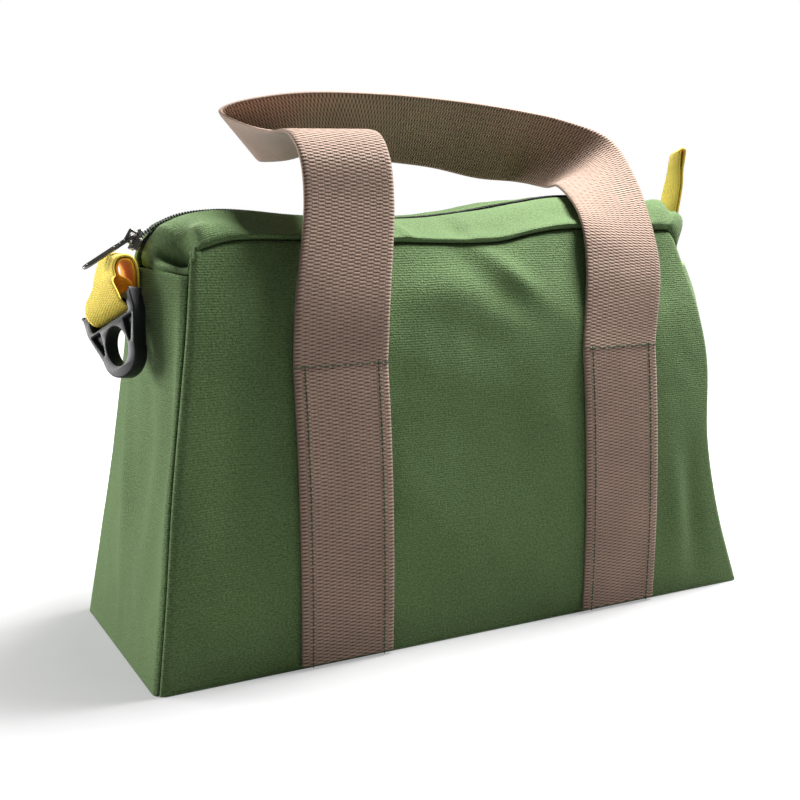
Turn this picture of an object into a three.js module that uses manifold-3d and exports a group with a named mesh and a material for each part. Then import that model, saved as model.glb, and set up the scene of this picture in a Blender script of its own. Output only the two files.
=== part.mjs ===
// A green canvas tool bag: sloping walls, a zipped roof that turns down over the ends,
// two webbing handles, a folded webbing tab at each end and a plastic ring on the left one.
// Millimetres, +Z up, the front faces -Y, the origin is the middle of the base on the floor.
import * as THREE from "three";
import { mergeVertices } from "three/addons/utils/BufferGeometryUtils.js";
import Module from "manifold-3d";

const wasm = await Module();
wasm.setup();

// Cloth and webbing
const CANVAS = 1.8;
const GAP = 0.3;
const SEAM_ROUND = 2;
const SEAM_REACH = 4;
const SEAM_HALF_SLIT = 0.225;
const FOOT_HEIGHT = 12;
const FOLD_FADE = 3;
const HANDLE_WIDTH = 50;
const HANDLE_THICK = 2.2;
const STRAP_X = 85;
const STITCH_Z = 148;
const LEG_FOOT_Z = 2;
const LEG_GAP = 0.6;
const TAB_WIDTH = 25;
const TAB_THICK = 1.5;

// The walls at each height: the upright seams' places and how far the panels bulge past them
const WALLS = [
  { z: 0, left: 180, leftBack: 180, right: 179, depth: 66.8, bulge: 0, leftBulge: 0, rightBulge: 0 },
  { z: 45, left: 175, leftBack: 172, right: 163, depth: 66, bulge: 2, leftBulge: 0, rightBulge: 3 },
  { z: 90, left: 170, leftBack: 164.5, right: 155, depth: 63, bulge: 4, leftBulge: 0.5, rightBulge: 6 },
  { z: 135, left: 163, leftBack: 158.5, right: 157, depth: 57.5, bulge: 5, leftBulge: 4, rightBulge: 9 },
  { z: 165, left: 157.5, leftBack: 155, right: 153.5, depth: 51.5, bulge: 4, leftBulge: 8, rightBulge: 12 },
  { z: 190, left: 153, leftBack: 152, right: 147.5, depth: 44.5, bulge: 2, leftBulge: 11, rightBulge: 16 },
  { z: 212, left: 148.5, leftBack: 148.5, right: 142, depth: 38, bulge: 0, leftBulge: 11, rightBulge: 16 },
];

// Height of the long seam between a wall and the roof
const TOP_SEAM = [
  { x: -151, z: 201.5 },
  { x: -131, z: 206.5 },
  { x: -96, z: 206.5 },
  { x: -44, z: 205 },
  { x: 16, z: 204.5 },
  { x: 44, z: 209 },
  { x: 67, z: 211.5 },
  { x: 142, z: 210.5 },
];

// Height of the short seam between an end panel and the roof, and its rise in the middle
const END_SEAM_Z = 191;
const END_SEAM_RISE = 3;

// The zip from the left end seam, over the top, to the right end seam
const ZIP_LINE = [
  { x: -163, z: 194 },
  { x: -164.5, z: 206 },
  { x: -148, z: 218 },
  { x: -124, z: 222 },
  { x: -77, z: 219 },
  { x: -22, z: 218 },
  { x: 11, z: 220.5 },
  { x: 54, z: 227 },
  { x: 84, z: 231 },
  { x: 120, z: 230 },
  { x: 147, z: 224 },
  { x: 164, z: 209 },
  { x: 162, z: 194 },
];

// Soft folds: a ridge (+) or dent (-) along a line through its middle
const FRONT_FOLDS = [
  { at: 33, z: 186, turn: -54, length: 24, width: 9, rise: -3 },
  { at: 48, z: 192, turn: -54, length: 20, width: 9, rise: 2 },
  { at: 0, z: 100, turn: 90, length: 50, width: 36, rise: -3 },
  { at: 142, z: 50, turn: 96, length: 36, width: 8, rise: -3.5 },
  { at: 128, z: 55, turn: 94, length: 34, width: 9, rise: 2 },
  { at: -140, z: 105, turn: 82, length: 50, width: 16, rise: -2.5 },
];
const BACK_FOLDS = [
  { at: -20, z: 110, turn: 80, length: 55, width: 34, rise: -3 },
  { at: 132, z: 70, turn: 100, length: 40, width: 12, rise: -3 },
];
const LEFT_END_FOLDS = [
  { at: 14, z: 90, turn: 84, length: 50, width: 10, rise: 3.5 },
  { at: -18, z: 105, turn: 96, length: 45, width: 13, rise: -3 },
];
const RIGHT_END_FOLDS = [
  { at: 14, z: 90, turn: 84, length: 50, width: 10, rise: 3.5 },
  { at: -32, z: 162, turn: 90, length: 26, width: 12, rise: 7 },
];
// Folds of a roof strip, in shares of its run along the zip and across to it
const FRONT_ROOF_FOLDS = [
  { along: 0.06, across: 0.28, reach: 0.024, span: 0.25, rise: -9 },
  { along: 0.11, across: 0.15, reach: 0.03, span: 0.25, rise: 4 },
  { along: 0.4, across: 0.15, reach: 0.012, span: 0.3, rise: 2.5 },
  { along: 0.5, across: 0.35, reach: 0.02, span: 0.3, rise: -2.5 },
  { along: 0.905, across: 0.35, reach: 0.03, span: 0.4, rise: 13 },
  { along: 0.947, across: 0.12, reach: 0.025, span: 0.22, rise: 13 },
  { along: 0.98, across: 0.2, reach: 0.014, span: 0.3, rise: -5 },
];
const BACK_ROOF_FOLDS = [
  { along: 0.085, across: 0.3, reach: 0.03, span: 0.3, rise: -6 },
  { along: 0.58, across: 0.45, reach: 0.12, span: 0.4, rise: 5 },
  { along: 0.92, across: 0.35, reach: 0.03, span: 0.3, rise: -5 },
];
// A fold fades towards the long seam and towards the zip
const ROOF_FADE_SEAM = 6;
const ROOF_FADE_ZIP = 4;
const ROOF_LEFT = -150;
const ROOF_RIGHT = 142;
const ROOF_CROWN = 4;
const ROOF_SIDE_TUCK = 2.65;
const ROOF_END_TUCK = 2.9;
const ROOF_CORNER_INSET = 3.4;
const ROOF_DROP_SHARE = 0.07;
const ZIP_END_SHARE = 0.03;

// The zip's own sizes
const ZIP_HALF_SLOT = 4;
const TAPE_COVER_SHARE = 0.14;
const TAPE_DEPTH = 2.25;
const TAPE_THICK = 0.8;
const TAPE_HALF_SLIT = 0.8;
const CHAIN_WIDTH = 5;
const CHAIN_THICK = 1.6;

// Front handle above its stitch lines: both edges of the webbing, from the left leg to the right
const FRONT_HANDLE = [
  { ox: -108, oy: -64, oz: 178, ix: -58, iy: -64, iz: 178 },
  { ox: -99, oy: -55, oz: 225, ix: -50, iy: -53, iz: 225 },
  { ox: -99, oy: -50, oz: 247, ix: -50, iy: -48, iz: 248 },
  { ox: -100, oy: -38, oz: 258, ix: -50, iy: -35, iz: 260 },
  { ox: -102, oy: -15, oz: 260, ix: -53, iy: -5, iz: 259 },
  { ox: -108, oy: 12, oz: 267, ix: -68, iy: 38, iz: 250 },
  { ox: -112, oy: 24, oz: 273, ix: -77, iy: 58, iz: 250 },
  { ox: -105, oy: 26, oz: 277, ix: -68, iy: 61, iz: 252 },
  { ox: -70, oy: 22, oz: 284, ix: -38, iy: 60, iz: 256 },
  { ox: -20, oy: 20, oz: 286, ix: -10, iy: 60, iz: 253 },
  { ox: 35, oy: 24, oz: 285, ix: 34, iy: 58, iz: 249 },
  { ox: 75, oy: 25, oz: 282, ix: 66, iy: 55, iz: 243 },
  { ox: 108, oy: 22, oz: 277, ix: 90, iy: 49, iz: 241 },
  { ox: 132, oy: 8, oz: 266, ix: 98, iy: 28, iz: 237 },
  { ox: 131, oy: -18, oz: 242, ix: 85, iy: -5, iz: 236 },
  { ox: 122, oy: -48, oz: 206, ix: 73, iy: -42, iz: 218 },
  { ox: 118, oy: -58, oz: 186, ix: 69, iy: -54, iz: 194 },
];
// Back handle above its left stitch line, down to the middle of its hanging bight
const BACK_HANDLE = [
  { x: -85, y: 65, z: 178, wx: 1, wy: 0, wz: 0 },
  { x: -85, y: 76, z: 202, wx: 1, wy: 0, wz: 0 },
  { x: -83, y: 96, z: 200, wx: 1, wy: 0.1, wz: 0 },
  { x: -80, y: 106, z: 168, wx: 1, wy: 0.35, wz: 0 },
  { x: -74, y: 110, z: 128, wx: 0.8, wy: 0.6, wz: 0.25 },
  { x: -50, y: 113, z: 90, wx: 0.4, wy: 0.85, wz: 0.4 },
  { x: 0, y: 115, z: 74, wx: 0, wy: 1, wz: 0 },
];

// Middle line of each folded tab from its root in the end seam, with its width direction
const LEFT_TAB = [
  { x: -168.2, y: 1, z: 184, wx: 0, wy: -1, wz: 0 },
  { x: -168.5, y: 1, z: 193.5, wx: -0.05, wy: -1, wz: 0 },
  { x: -171.2, y: 1, z: 198.4, wx: -0.1, wy: -1, wz: 0 },
  { x: -176.4, y: 1, z: 198.4, wx: -0.1, wy: -1, wz: 0 },
  { x: -179.3, y: 0.5, z: 193.5, wx: 0, wy: -1, wz: 0.08 },
  { x: -180, y: -1, z: 186, wx: 0.2, wy: -0.93, wz: 0.25 },
  { x: -179.5, y: -6.5, z: 176, wx: 0.45, wy: -0.77, wz: 0.45 },
];
const RIGHT_TAB = [
  { x: 168.2, y: 0, z: 184, wx: 0, wy: -1, wz: 0 },
  { x: 169.5, y: 0, z: 198, wx: -0.15, wy: -1, wz: 0 },
  { x: 173.5, y: 0, z: 218, wx: -0.3, wy: -0.95, wz: 0 },
  { x: 177.5, y: 0, z: 238, wx: -0.35, wy: -0.95, wz: 0 },
  { x: 179, y: 0, z: 249, wx: -0.45, wy: -0.9, wz: 0 },
  { x: 180.5, y: 0, z: 258, wx: -0.48, wy: -0.88, wz: 0 },
];
const TAB_HALF_GAP = 0.95;
const TAB_TOP_HALF_GAP = 1.5;
const BAR_CLEAR = 5.1;
const BAR_REACH = 10;

// Plastic ring, hanging from the middle of its bar
const RING = {
  topWidth: 36,
  barHeight: 5,
  chamfer: 2,
  slotWidth: 27,
  slotHeight: 6.5,
  thick: 7.6,
  tipRadius: 12,
  tipDrop: 25,
};
const RING_EYE = { halfWidth: 7, halfHeight: 9.5, drop: 21.5, rim: 2 };
const RING_BEVEL = 0.8;
const POCKET = { depth: 2, wall: 3, lowWidth: 0.6, lowDrop: 1, rise: 3 };
const CUT_OVER = 1;
const RING_HANG = new THREE.Vector3(0.1, -0.46, -0.88);
const RING_BAR = new THREE.Vector3(0.45, -0.77, 0.45);

// Slider and pull
const SLIDER_SHARE = 0.036;
const SLIDER = { length: 11, width: 9, plate: 1.4, flange: 1.2 };
const BAIL = { length: 7, height: 4.4, thick: 2.2, wire: 1.3, root: 0.4 };
const PULL = {
  length: 29,
  width: 7.5,
  headWidth: 6,
  thick: 1.5,
  eyeWidth: 3.2,
  eyeLength: 5.5,
  neck: 2,
  shoulder: 5,
  frame: 1.6,
  windowDrop: 1,
  windowLength: 16,
};
const PULL_HANG = new THREE.Vector3(-0.85, 0, -0.53);

// Facets
const LONG_STEPS = 20;
const LONG_EDGE_SHARE = 0.03;
const END_STEPS = 8;
const END_EDGE_SHARE = 0.07;
const WALL_ROWS = [0, 0.04, 0.1, 0.2, 0.32, 0.45, 0.58, 0.7, 0.8, 0.9, 1];
const ROOF_STEPS = 36;
const ROOF_CROSS_STEPS = 6;
const LEG_STEPS = 8;
const FRONT_HANDLE_STEPS = 132;
const BACK_HANDLE_STEPS = 80;
const TAB_STEPS = 28;
const TURN_STEPS = 8;
const RING_ARC_STEPS = 10;
const PULL_ARC_STEPS = 8;
const WELD = 1e-4;

const COLOURS = {
  canvas: { color: 0x3f5a34, roughness: 0.95, metalness: 0 },
  webbing: { color: 0x7d675b, roughness: 0.9, metalness: 0 },
  tab: { color: 0xf3cf4a, roughness: 0.85, metalness: 0 },
  plastic: { color: 0x1b1b1d, roughness: 0.45, metalness: 0 },
  zip: { color: 0x17181a, roughness: 0.7, metalness: 0 },
  metal: { color: 0xb9b7b2, roughness: 0.3, metalness: 1 },
};

// Smooth value of one column of a table at a place along its first column
function column(rows, axis, name, place) {
  const last = rows.length - 1;
  let i = 0;
  while (i < last - 1 && place > rows[i + 1][axis]) {
    i += 1;
  }
  const span = rows[i + 1][axis] - rows[i][axis];
  const t = clamp((place - rows[i][axis]) / span, 0, 1);
  const slope = (k) => {
    const a = rows[Math.max(k - 1, 0)];
    const b = rows[Math.min(k + 1, last)];
    return ((b[name] - a[name]) / (b[axis] - a[axis])) * span;
  };
  const t2 = t * t;
  const t3 = t2 * t;
  const from = rows[i][name] * (2 * t3 - 3 * t2 + 1) + slope(i) * (t3 - 2 * t2 + t);
  const to = rows[i + 1][name] * (3 * t2 - 2 * t3) + slope(i + 1) * (t3 - t2);
  return from + to;
}

const lerp = THREE.MathUtils.lerp;
const clamp = THREE.MathUtils.clamp;
const even = (count) => Array.from({ length: count + 1 }, (_, i) => i / count);
const wall = (name, z) => column(WALLS, "z", name, z);
const topSeam = (x) => column(TOP_SEAM, "x", "z", x);
const leftSeam = (side, z) => wall(side < 0 ? "left" : "leftBack", z);

// Sum of the soft folds at a place on a wall
function foldRise(folds, at, z) {
  let rise = 0;
  for (const fold of folds) {
    const turn = THREE.MathUtils.degToRad(fold.turn);
    const along = (at - fold.at) * Math.cos(turn) + (z - fold.z) * Math.sin(turn);
    const across = (z - fold.z) * Math.cos(turn) - (at - fold.at) * Math.sin(turn);
    rise += fold.rise * Math.exp(-((along / fold.length) ** 2) - (across / fold.width) ** 2);
  }
  return rise;
}

// A panel stands a little proud of its seams and turns into them
function seamTurn(distance) {
  return SEAM_ROUND * (1 - Math.max(0, 1 - distance / SEAM_REACH) ** 2);
}

// Outward distance of a long wall from the middle plane, side = -1 front, 1 back
function longWall(side, x, z) {
  const left = leftSeam(side, z);
  const right = wall("right", z);
  const share = (2 * (x + left)) / (left + right) - 1;
  const middle = Math.max(0, 1 - share * share);
  const folds = side < 0 ? FRONT_FOLDS : BACK_FOLDS;
  const edge = Math.min(x + left, right - x);
  const folded = foldRise(folds, x, z) * Math.min(1, middle * FOLD_FADE);
  const soft = wall("bulge", z) * Math.sqrt(middle) + folded;
  return wall("depth", z) + seamTurn(edge) + soft * Math.min(1, z / FOOT_HEIGHT);
}

// Outward distance of an end wall from the middle plane, side = -1 left, 1 right
function endWall(side, y, z) {
  const depth = wall("depth", z);
  const share = y / depth;
  const middle = Math.max(0, 1 - share * share);
  const name = side < 0 ? "left" : "right";
  const folds = side < 0 ? LEFT_END_FOLDS : RIGHT_END_FOLDS;
  const folded = foldRise(folds, y, z) * Math.min(1, middle * FOLD_FADE);
  const soft = wall(`${name}Bulge`, z) * middle + folded;
  const leftBase = lerp(leftSeam(-1, z), leftSeam(1, z), (1 + share) / 2);
  const base = side < 0 ? leftBase : wall("right", z);
  return base + seamTurn(depth - Math.abs(y)) + soft * Math.min(1, z / FOOT_HEIGHT);
}

function geometryFrom(points, faces) {
  const geometry = new THREE.BufferGeometry();
  const numbers = points.flatMap((p) => [p.x, p.y, p.z]);
  geometry.setAttribute("position", new THREE.Float32BufferAttribute(numbers, 3));
  geometry.setIndex(faces.flat());
  geometry.computeVertexNormals();
  return geometry;
}

// A closed wall: an outer grid of points, thickened inwards along the surface's own normals,
// or along given mitre directions at its first and last columns
function shell(outer, thickness, flip, mitres) {
  const rows = outer.length;
  const cols = outer[0].length;
  const at = (r, c) => outer[clamp(r, 0, rows - 1)][clamp(c, 0, cols - 1)];
  const points = outer.flat();
  for (let r = 0; r < rows; r += 1) {
    for (let c = 0; c < cols; c += 1) {
      const along = at(r, c + 1).clone().sub(at(r, c - 1));
      const up = at(r + 1, c).clone().sub(at(r - 1, c));
      const inward = up.cross(along).normalize().multiplyScalar(flip ? -thickness : thickness);
      if (mitres && r === 0) {
        inward.z = 0;
      }
      if (mitres && c === 0) {
        inward.copy(mitres[0]).setLength(thickness);
      }
      if (mitres && c === cols - 1) {
        inward.copy(mitres[1]).setLength(thickness);
      }
      points.push(at(r, c).clone().add(inward));
    }
  }
  const inner = rows * cols;
  const faces = [];
  const quad = (a, b, c, d) => {
    const turn = flip ? [[a, c, b], [a, d, c]] : [[a, b, c], [a, c, d]];
    faces.push(...turn);
  };
  for (let r = 0; r < rows - 1; r += 1) {
    for (let c = 0; c < cols - 1; c += 1) {
      const i = r * cols + c;
      quad(i, i + 1, i + 1 + cols, i + cols);
      quad(inner + i, inner + i + cols, inner + i + 1 + cols, inner + i + 1);
    }
  }
  for (let c = 0; c < cols - 1; c += 1) {
    const top = (rows - 1) * cols + c;
    quad(c, inner + c, inner + c + 1, c + 1);
    quad(top, top + 1, inner + top + 1, inner + top);
  }
  for (let r = 0; r < rows - 1; r += 1) {
    const i = r * cols;
    const j = i + cols - 1;
    quad(i, i + cols, inner + i + cols, inner + i);
    quad(j, inner + j, inner + j + cols, j + cols);
  }
  return geometryFrom(points, faces);
}

// Shares from -1 to 1, closer together beside both ends so that the seams turn smoothly
function seamShares(count, nearEdge) {
  const shares = [-1, -1 + nearEdge / 2, -1 + nearEdge];
  for (let i = 1; i < count; i += 1) {
    shares.push(-1 + nearEdge + ((2 - 2 * nearEdge) * i) / count);
  }
  return [...shares, 1 - nearEdge, 1 - nearEdge / 2, 1];
}

function longPanel(side) {
  const shares = seamShares(LONG_STEPS, LONG_EDGE_SHARE);
  const grid = WALL_ROWS.map((v) => shares.map((share) => {
    const half = (1 + share) / 2;
    const z = v * topSeam(lerp(ROOF_LEFT, ROOF_RIGHT, half));
    const x = lerp(-leftSeam(side, z), wall("right", z), half) - SEAM_HALF_SLIT * share;
    return new THREE.Vector3(x, side * longWall(side, x, z), z);
  }));
  const mitres = [new THREE.Vector3(1, -side, 0), new THREE.Vector3(-1, -side, 0)];
  return shell(grid, CANVAS, side > 0, mitres);
}

function endPanel(side) {
  const shares = seamShares(END_STEPS, END_EDGE_SHARE);
  const grid = WALL_ROWS.map((v) => shares.map((share) => {
    const z = v * (END_SEAM_Z + END_SEAM_RISE * (1 - share * share));
    const y = share * (wall("depth", z) - SEAM_HALF_SLIT);
    return new THREE.Vector3(side * endWall(side, y, z), y, z);
  }));
  const mitres = [new THREE.Vector3(-side, 1, 0), new THREE.Vector3(-side, -1, 0)];
  return shell(grid, CANVAS, side < 0, mitres);
}

// The base fits between the walls' feet, measured at its upper face
function basePanel() {
  const outward = SEAM_ROUND - CANVAS - GAP;
  const half = wall("depth", CANVAS) + outward;
  const left = -wall("leftBack", CANVAS) - outward;
  const right = wall("right", CANVAS) + outward;
  const corner = SEAM_REACH + SEAM_ROUND;
  const outline = new THREE.Shape();
  outline.moveTo(left + corner, -half);
  outline.lineTo(right - corner, -half);
  outline.lineTo(right, corner - half);
  outline.lineTo(right, half - corner);
  outline.lineTo(right - corner, half);
  outline.lineTo(left + corner, half);
  outline.lineTo(left, half - corner);
  outline.lineTo(left, corner - half);
  outline.closePath();
  return new THREE.ExtrudeGeometry(outline, { depth: CANVAS, bevelEnabled: false });
}

const zipSpots = ZIP_LINE.map((row) => new THREE.Vector3(row.x, 0, row.z));
const zipCurve = new THREE.CatmullRomCurve3(zipSpots, false, "centripetal");

// The roof strip's outer edge: up the end corner, along the long seam and down the other corner
function roofEdge(side, share) {
  const drop = ROOF_DROP_SHARE;
  const place = clamp((share - drop) / (1 - 2 * drop), 0, 1);
  const seamZ = topSeam(lerp(ROOF_LEFT, ROOF_RIGHT, place));
  const fall = Math.max(0, drop - share, share - 1 + drop) / drop;
  const z = lerp(seamZ, END_SEAM_Z, fall);
  const x = lerp(-leftSeam(side, z), wall("right", z), place) + ROOF_CORNER_INSET * (1 - 2 * place);
  return new THREE.Vector3(x, side * (longWall(side, x, z) - ROOF_SIDE_TUCK), z);
}

// A place on a roof strip, from its long seam (across 0) to the zip (across 1)
function roofPoint(side, folds, along, across) {
  const edge = roofEdge(side, along);
  const ridge = zipCurve.getPointAt(along);
  ridge.y = side * ZIP_HALF_SLOT;
  const point = edge.clone().lerp(ridge, across);
  const ends = Math.min(1, along / ROOF_DROP_SHARE, (1 - along) / ROOF_DROP_SHARE);
  const endSide = along < 0.5 ? -1 : 1;
  const seamX = endSide * (endWall(endSide, point.y, END_SEAM_Z) - ROOF_END_TUCK);
  const seamZ = END_SEAM_Z + END_SEAM_RISE * across;
  point.x = lerp(seamX, point.x, ends);
  point.z = lerp(seamZ, point.z, ends);
  let rise = ROOF_CROWN * ends * 4 * across * (1 - across);
  for (const fold of folds) {
    const far = ((along - fold.along) / fold.reach) ** 2 + ((across - fold.across) / fold.span) ** 2;
    const fade = Math.min(1, across * ROOF_FADE_SEAM, (1 - across) * ROOF_FADE_ZIP);
    rise += fold.rise * Math.exp(-far) * fade;
  }
  const tangent = zipCurve.getTangentAt(along);
  point.x -= tangent.z * rise;
  point.z += tangent.x * rise;
  return point;
}

function roofStrip(side, folds) {
  const row = (across) => even(ROOF_STEPS).map((along) => roofPoint(side, folds, along, across));
  return shell(even(ROOF_CROSS_STEPS).map(row), CANVAS, side > 0);
}

const zipShares = even(ROOF_STEPS).map((share) => lerp(ZIP_END_SHARE, 1 - ZIP_END_SHARE, share));

// A point moved below the zip line, square to it
function sink(point, along, depth) {
  const tangent = zipCurve.getTangentAt(along);
  point.x += tangent.z * depth;
  point.z -= tangent.x * depth;
  return point;
}

function zipPoint(along, y, depth) {
  const point = zipCurve.getPointAt(along);
  point.y = y;
  return sink(point, along, depth);
}

// Half of the tape: from the zip's middle, under the roof strip's edge
function zipTape(side, folds) {
  const under = (along, across, depth) => sink(roofPoint(side, folds, along, across), along, depth);
  const middle = zipShares.map((along) => zipPoint(along, side * TAPE_HALF_SLIT, TAPE_DEPTH));
  const edge = zipShares.map((along) => under(along, 1, TAPE_DEPTH));
  const covered = zipShares.map((along) => under(along, 1 - TAPE_COVER_SHARE, TAPE_DEPTH + GAP));
  return shell([covered, edge, middle], TAPE_THICK, side > 0);
}

function zipChain() {
  const half = CHAIN_WIDTH / 2;
  const depth = CANVAS - CHAIN_THICK;
  const row = (y) => zipShares.map((along) => zipPoint(along, y, depth));
  return shell([-half, half].map(row), CHAIN_THICK, false);
}

// Direction of a ribbon's run at one of its stations
function runAt(stations, i) {
  const ahead = stations[Math.min(i + 1, stations.length - 1)].middle;
  return ahead.clone().sub(stations[Math.max(i - 1, 0)].middle).normalize();
}

// Stations whose width lies square to the run, as half-width vectors
function squared(stations, width) {
  return stations.map(({ middle, across }, i) => {
    const along = runAt(stations, i);
    const side = across.clone().addScaledVector(along, -across.dot(along)).setLength(width / 2);
    return { middle, side };
  });
}

// A flat ribbon through stations, each a middle point and its half-width vector
function ribbon(stations, thick) {
  const last = stations.length - 1;
  const points = [];
  stations.forEach(({ middle, side }, i) => {
    const face = runAt(stations, i).cross(side).setLength(thick / 2);
    points.push(middle.clone().sub(side).sub(face), middle.clone().add(side).sub(face));
    points.push(middle.clone().add(side).add(face), middle.clone().sub(side).add(face));
  });
  const faces = [[0, 2, 1], [0, 3, 2]];
  for (let i = 0; i < last; i += 1) {
    for (let k = 0; k < 4; k += 1) {
      const a = 4 * i + k;
      const b = 4 * i + ((k + 1) % 4);
      faces.push([a, b, a + 4], [b, b + 4, a + 4]);
    }
  }
  const end = 4 * last;
  faces.push([end, end + 1, end + 2], [end, end + 2, end + 3]);
  return geometryFrom(points, faces);
}

// Smooth stations through a few hand-set ones
function smoothStations(rows, count) {
  const middles = new THREE.CatmullRomCurve3(rows.map((row) => row.middle), false, "centripetal");
  const tips = rows.map((row) => row.across);
  return even(count).map((share) => {
    const place = share * (rows.length - 1);
    const i = Math.min(Math.floor(place), rows.length - 2);
    const across = tips[i].clone().lerp(tips[i + 1], place - i).normalize();
    return { middle: middles.getPoint(share), across };
  });
}

// A handle's sewn leg lies on the wall from the floor to the stitch line
function sewnLeg(side, x, inward) {
  const spots = [-0.5, -0.25, 0, 0.25, 0.5].map((share) => x + share * HANDLE_WIDTH);
  return even(LEG_STEPS).map((share) => {
    const z = lerp(LEG_FOOT_Z, STITCH_Z, share);
    const reach = Math.max(...spots.map((spot) => longWall(side, spot, z)));
    const middle = new THREE.Vector3(x, side * (reach + LEG_GAP + HANDLE_THICK / 2), z);
    return { middle, across: new THREE.Vector3(inward, 0, 0) };
  });
}

function handle(side, freeSpan) {
  const leftLeg = squared(sewnLeg(side, -STRAP_X, 1), HANDLE_WIDTH);
  const rightLeg = squared(sewnLeg(side, STRAP_X, -1).reverse(), HANDLE_WIDTH);
  const free = freeSpan(leftLeg.at(-1), rightLeg[0]);
  return ribbon([...leftLeg.slice(0, -1), ...free, ...rightLeg.slice(1)], HANDLE_THICK);
}

// One edge of the front handle, between the stitch lines
function frontEdge(start, stop, sign, point) {
  const ends = [start, stop].map(({ middle, side }) => middle.clone().addScaledVector(side, sign));
  const points = [ends[0], ...FRONT_HANDLE.map(point), ends[1]];
  return new THREE.CatmullRomCurve3(points, false, "centripetal");
}

// The front handle follows both of its edges, because it folds over on the slant
function frontSpan(start, stop) {
  const outer = frontEdge(start, stop, -1, (row) => new THREE.Vector3(row.ox, row.oy, row.oz));
  const inner = frontEdge(start, stop, 1, (row) => new THREE.Vector3(row.ix, row.iy, row.iz));
  return even(FRONT_HANDLE_STEPS).map((share) => {
    const low = outer.getPoint(share);
    const high = inner.getPoint(share);
    return { middle: low.clone().lerp(high, 0.5), side: high.sub(low).multiplyScalar(0.5) };
  });
}

const tableStation = (row, mirror) => ({
  middle: new THREE.Vector3(mirror * row.x, row.y, row.z),
  across: new THREE.Vector3(mirror * row.wx, row.wy, row.wz),
});
const backHandleRows = [
  ...BACK_HANDLE.map((row) => tableStation(row, 1)),
  ...BACK_HANDLE.slice(0, -1).reverse().map((row) => tableStation(row, -1)),
];

function backSpan(start, stop) {
  const ends = [start, stop].map(({ middle, side }) => ({ middle, across: side.clone().normalize() }));
  return squared(smoothStations([ends[0], ...backHandleRows, ends[1]], BACK_HANDLE_STEPS), HANDLE_WIDTH);
}

// A tab is one length of webbing folded back on itself, its two layers parted near the fold
function foldedTab(rows, foldHalfGap) {
  const line = smoothStations(rows.map((row) => tableStation(row, 1)), TAB_STEPS);
  const middle = squared(line, TAB_WIDTH);
  const lengths = middle.map((_, i) => (i ? middle[i].middle.distanceTo(middle[i - 1].middle) : 0));
  const total = lengths.reduce((sum, part) => sum + part, 0);
  let run = 0;
  const sides = middle.map((station, i) => {
    run += lengths[i];
    const near = (total - run) / BAR_REACH;
    const open = lerp(TAB_HALF_GAP, foldHalfGap, Math.exp(-(near ** 4)));
    const along = runAt(middle, i);
    const face = along.clone().cross(station.side).normalize();
    return { station, along, face, open };
  });
  const layer = (sign) => sides.map(({ station, face, open }) => ({
    middle: station.middle.clone().addScaledVector(face, sign * open),
    side: station.side,
  }));
  const { station, along, face, open } = sides.at(-1);
  const turn = even(TURN_STEPS).slice(1, -1).map((share) => {
    const angle = Math.PI * share;
    const spot = station.middle.clone().addScaledVector(face, open * Math.cos(angle));
    return { middle: spot.addScaledVector(along, open * Math.sin(angle)), side: station.side };
  });
  return ribbon([...layer(1), ...turn, ...layer(-1).reverse()], TAB_THICK);
}

// Booleans on closed meshes
function solidOf(geometry) {
  const bare = geometry.clone();
  bare.deleteAttribute("normal");
  bare.deleteAttribute("uv");
  const merged = mergeVertices(bare, WELD);
  return new wasm.Manifold(new wasm.Mesh({
    numProp: 3,
    vertProperties: new Float32Array(merged.attributes.position.array),
    triVerts: new Uint32Array(merged.index.array),
  }));
}

function geometryOf(solid) {
  const { vertProperties, triVerts } = solid.getMesh();
  const geometry = new THREE.BufferGeometry();
  geometry.setAttribute("position", new THREE.BufferAttribute(new Float32Array(vertProperties), 3));
  geometry.setIndex(new THREE.BufferAttribute(new Uint32Array(triVerts), 1));
  geometry.computeVertexNormals();
  return geometry;
}

function rectanglePath(path, x0, x1, y0, y1) {
  path.moveTo(x0, y0);
  path.lineTo(x1, y0);
  path.lineTo(x1, y1);
  path.lineTo(x0, y1);
  path.closePath();
  return path;
}

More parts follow.
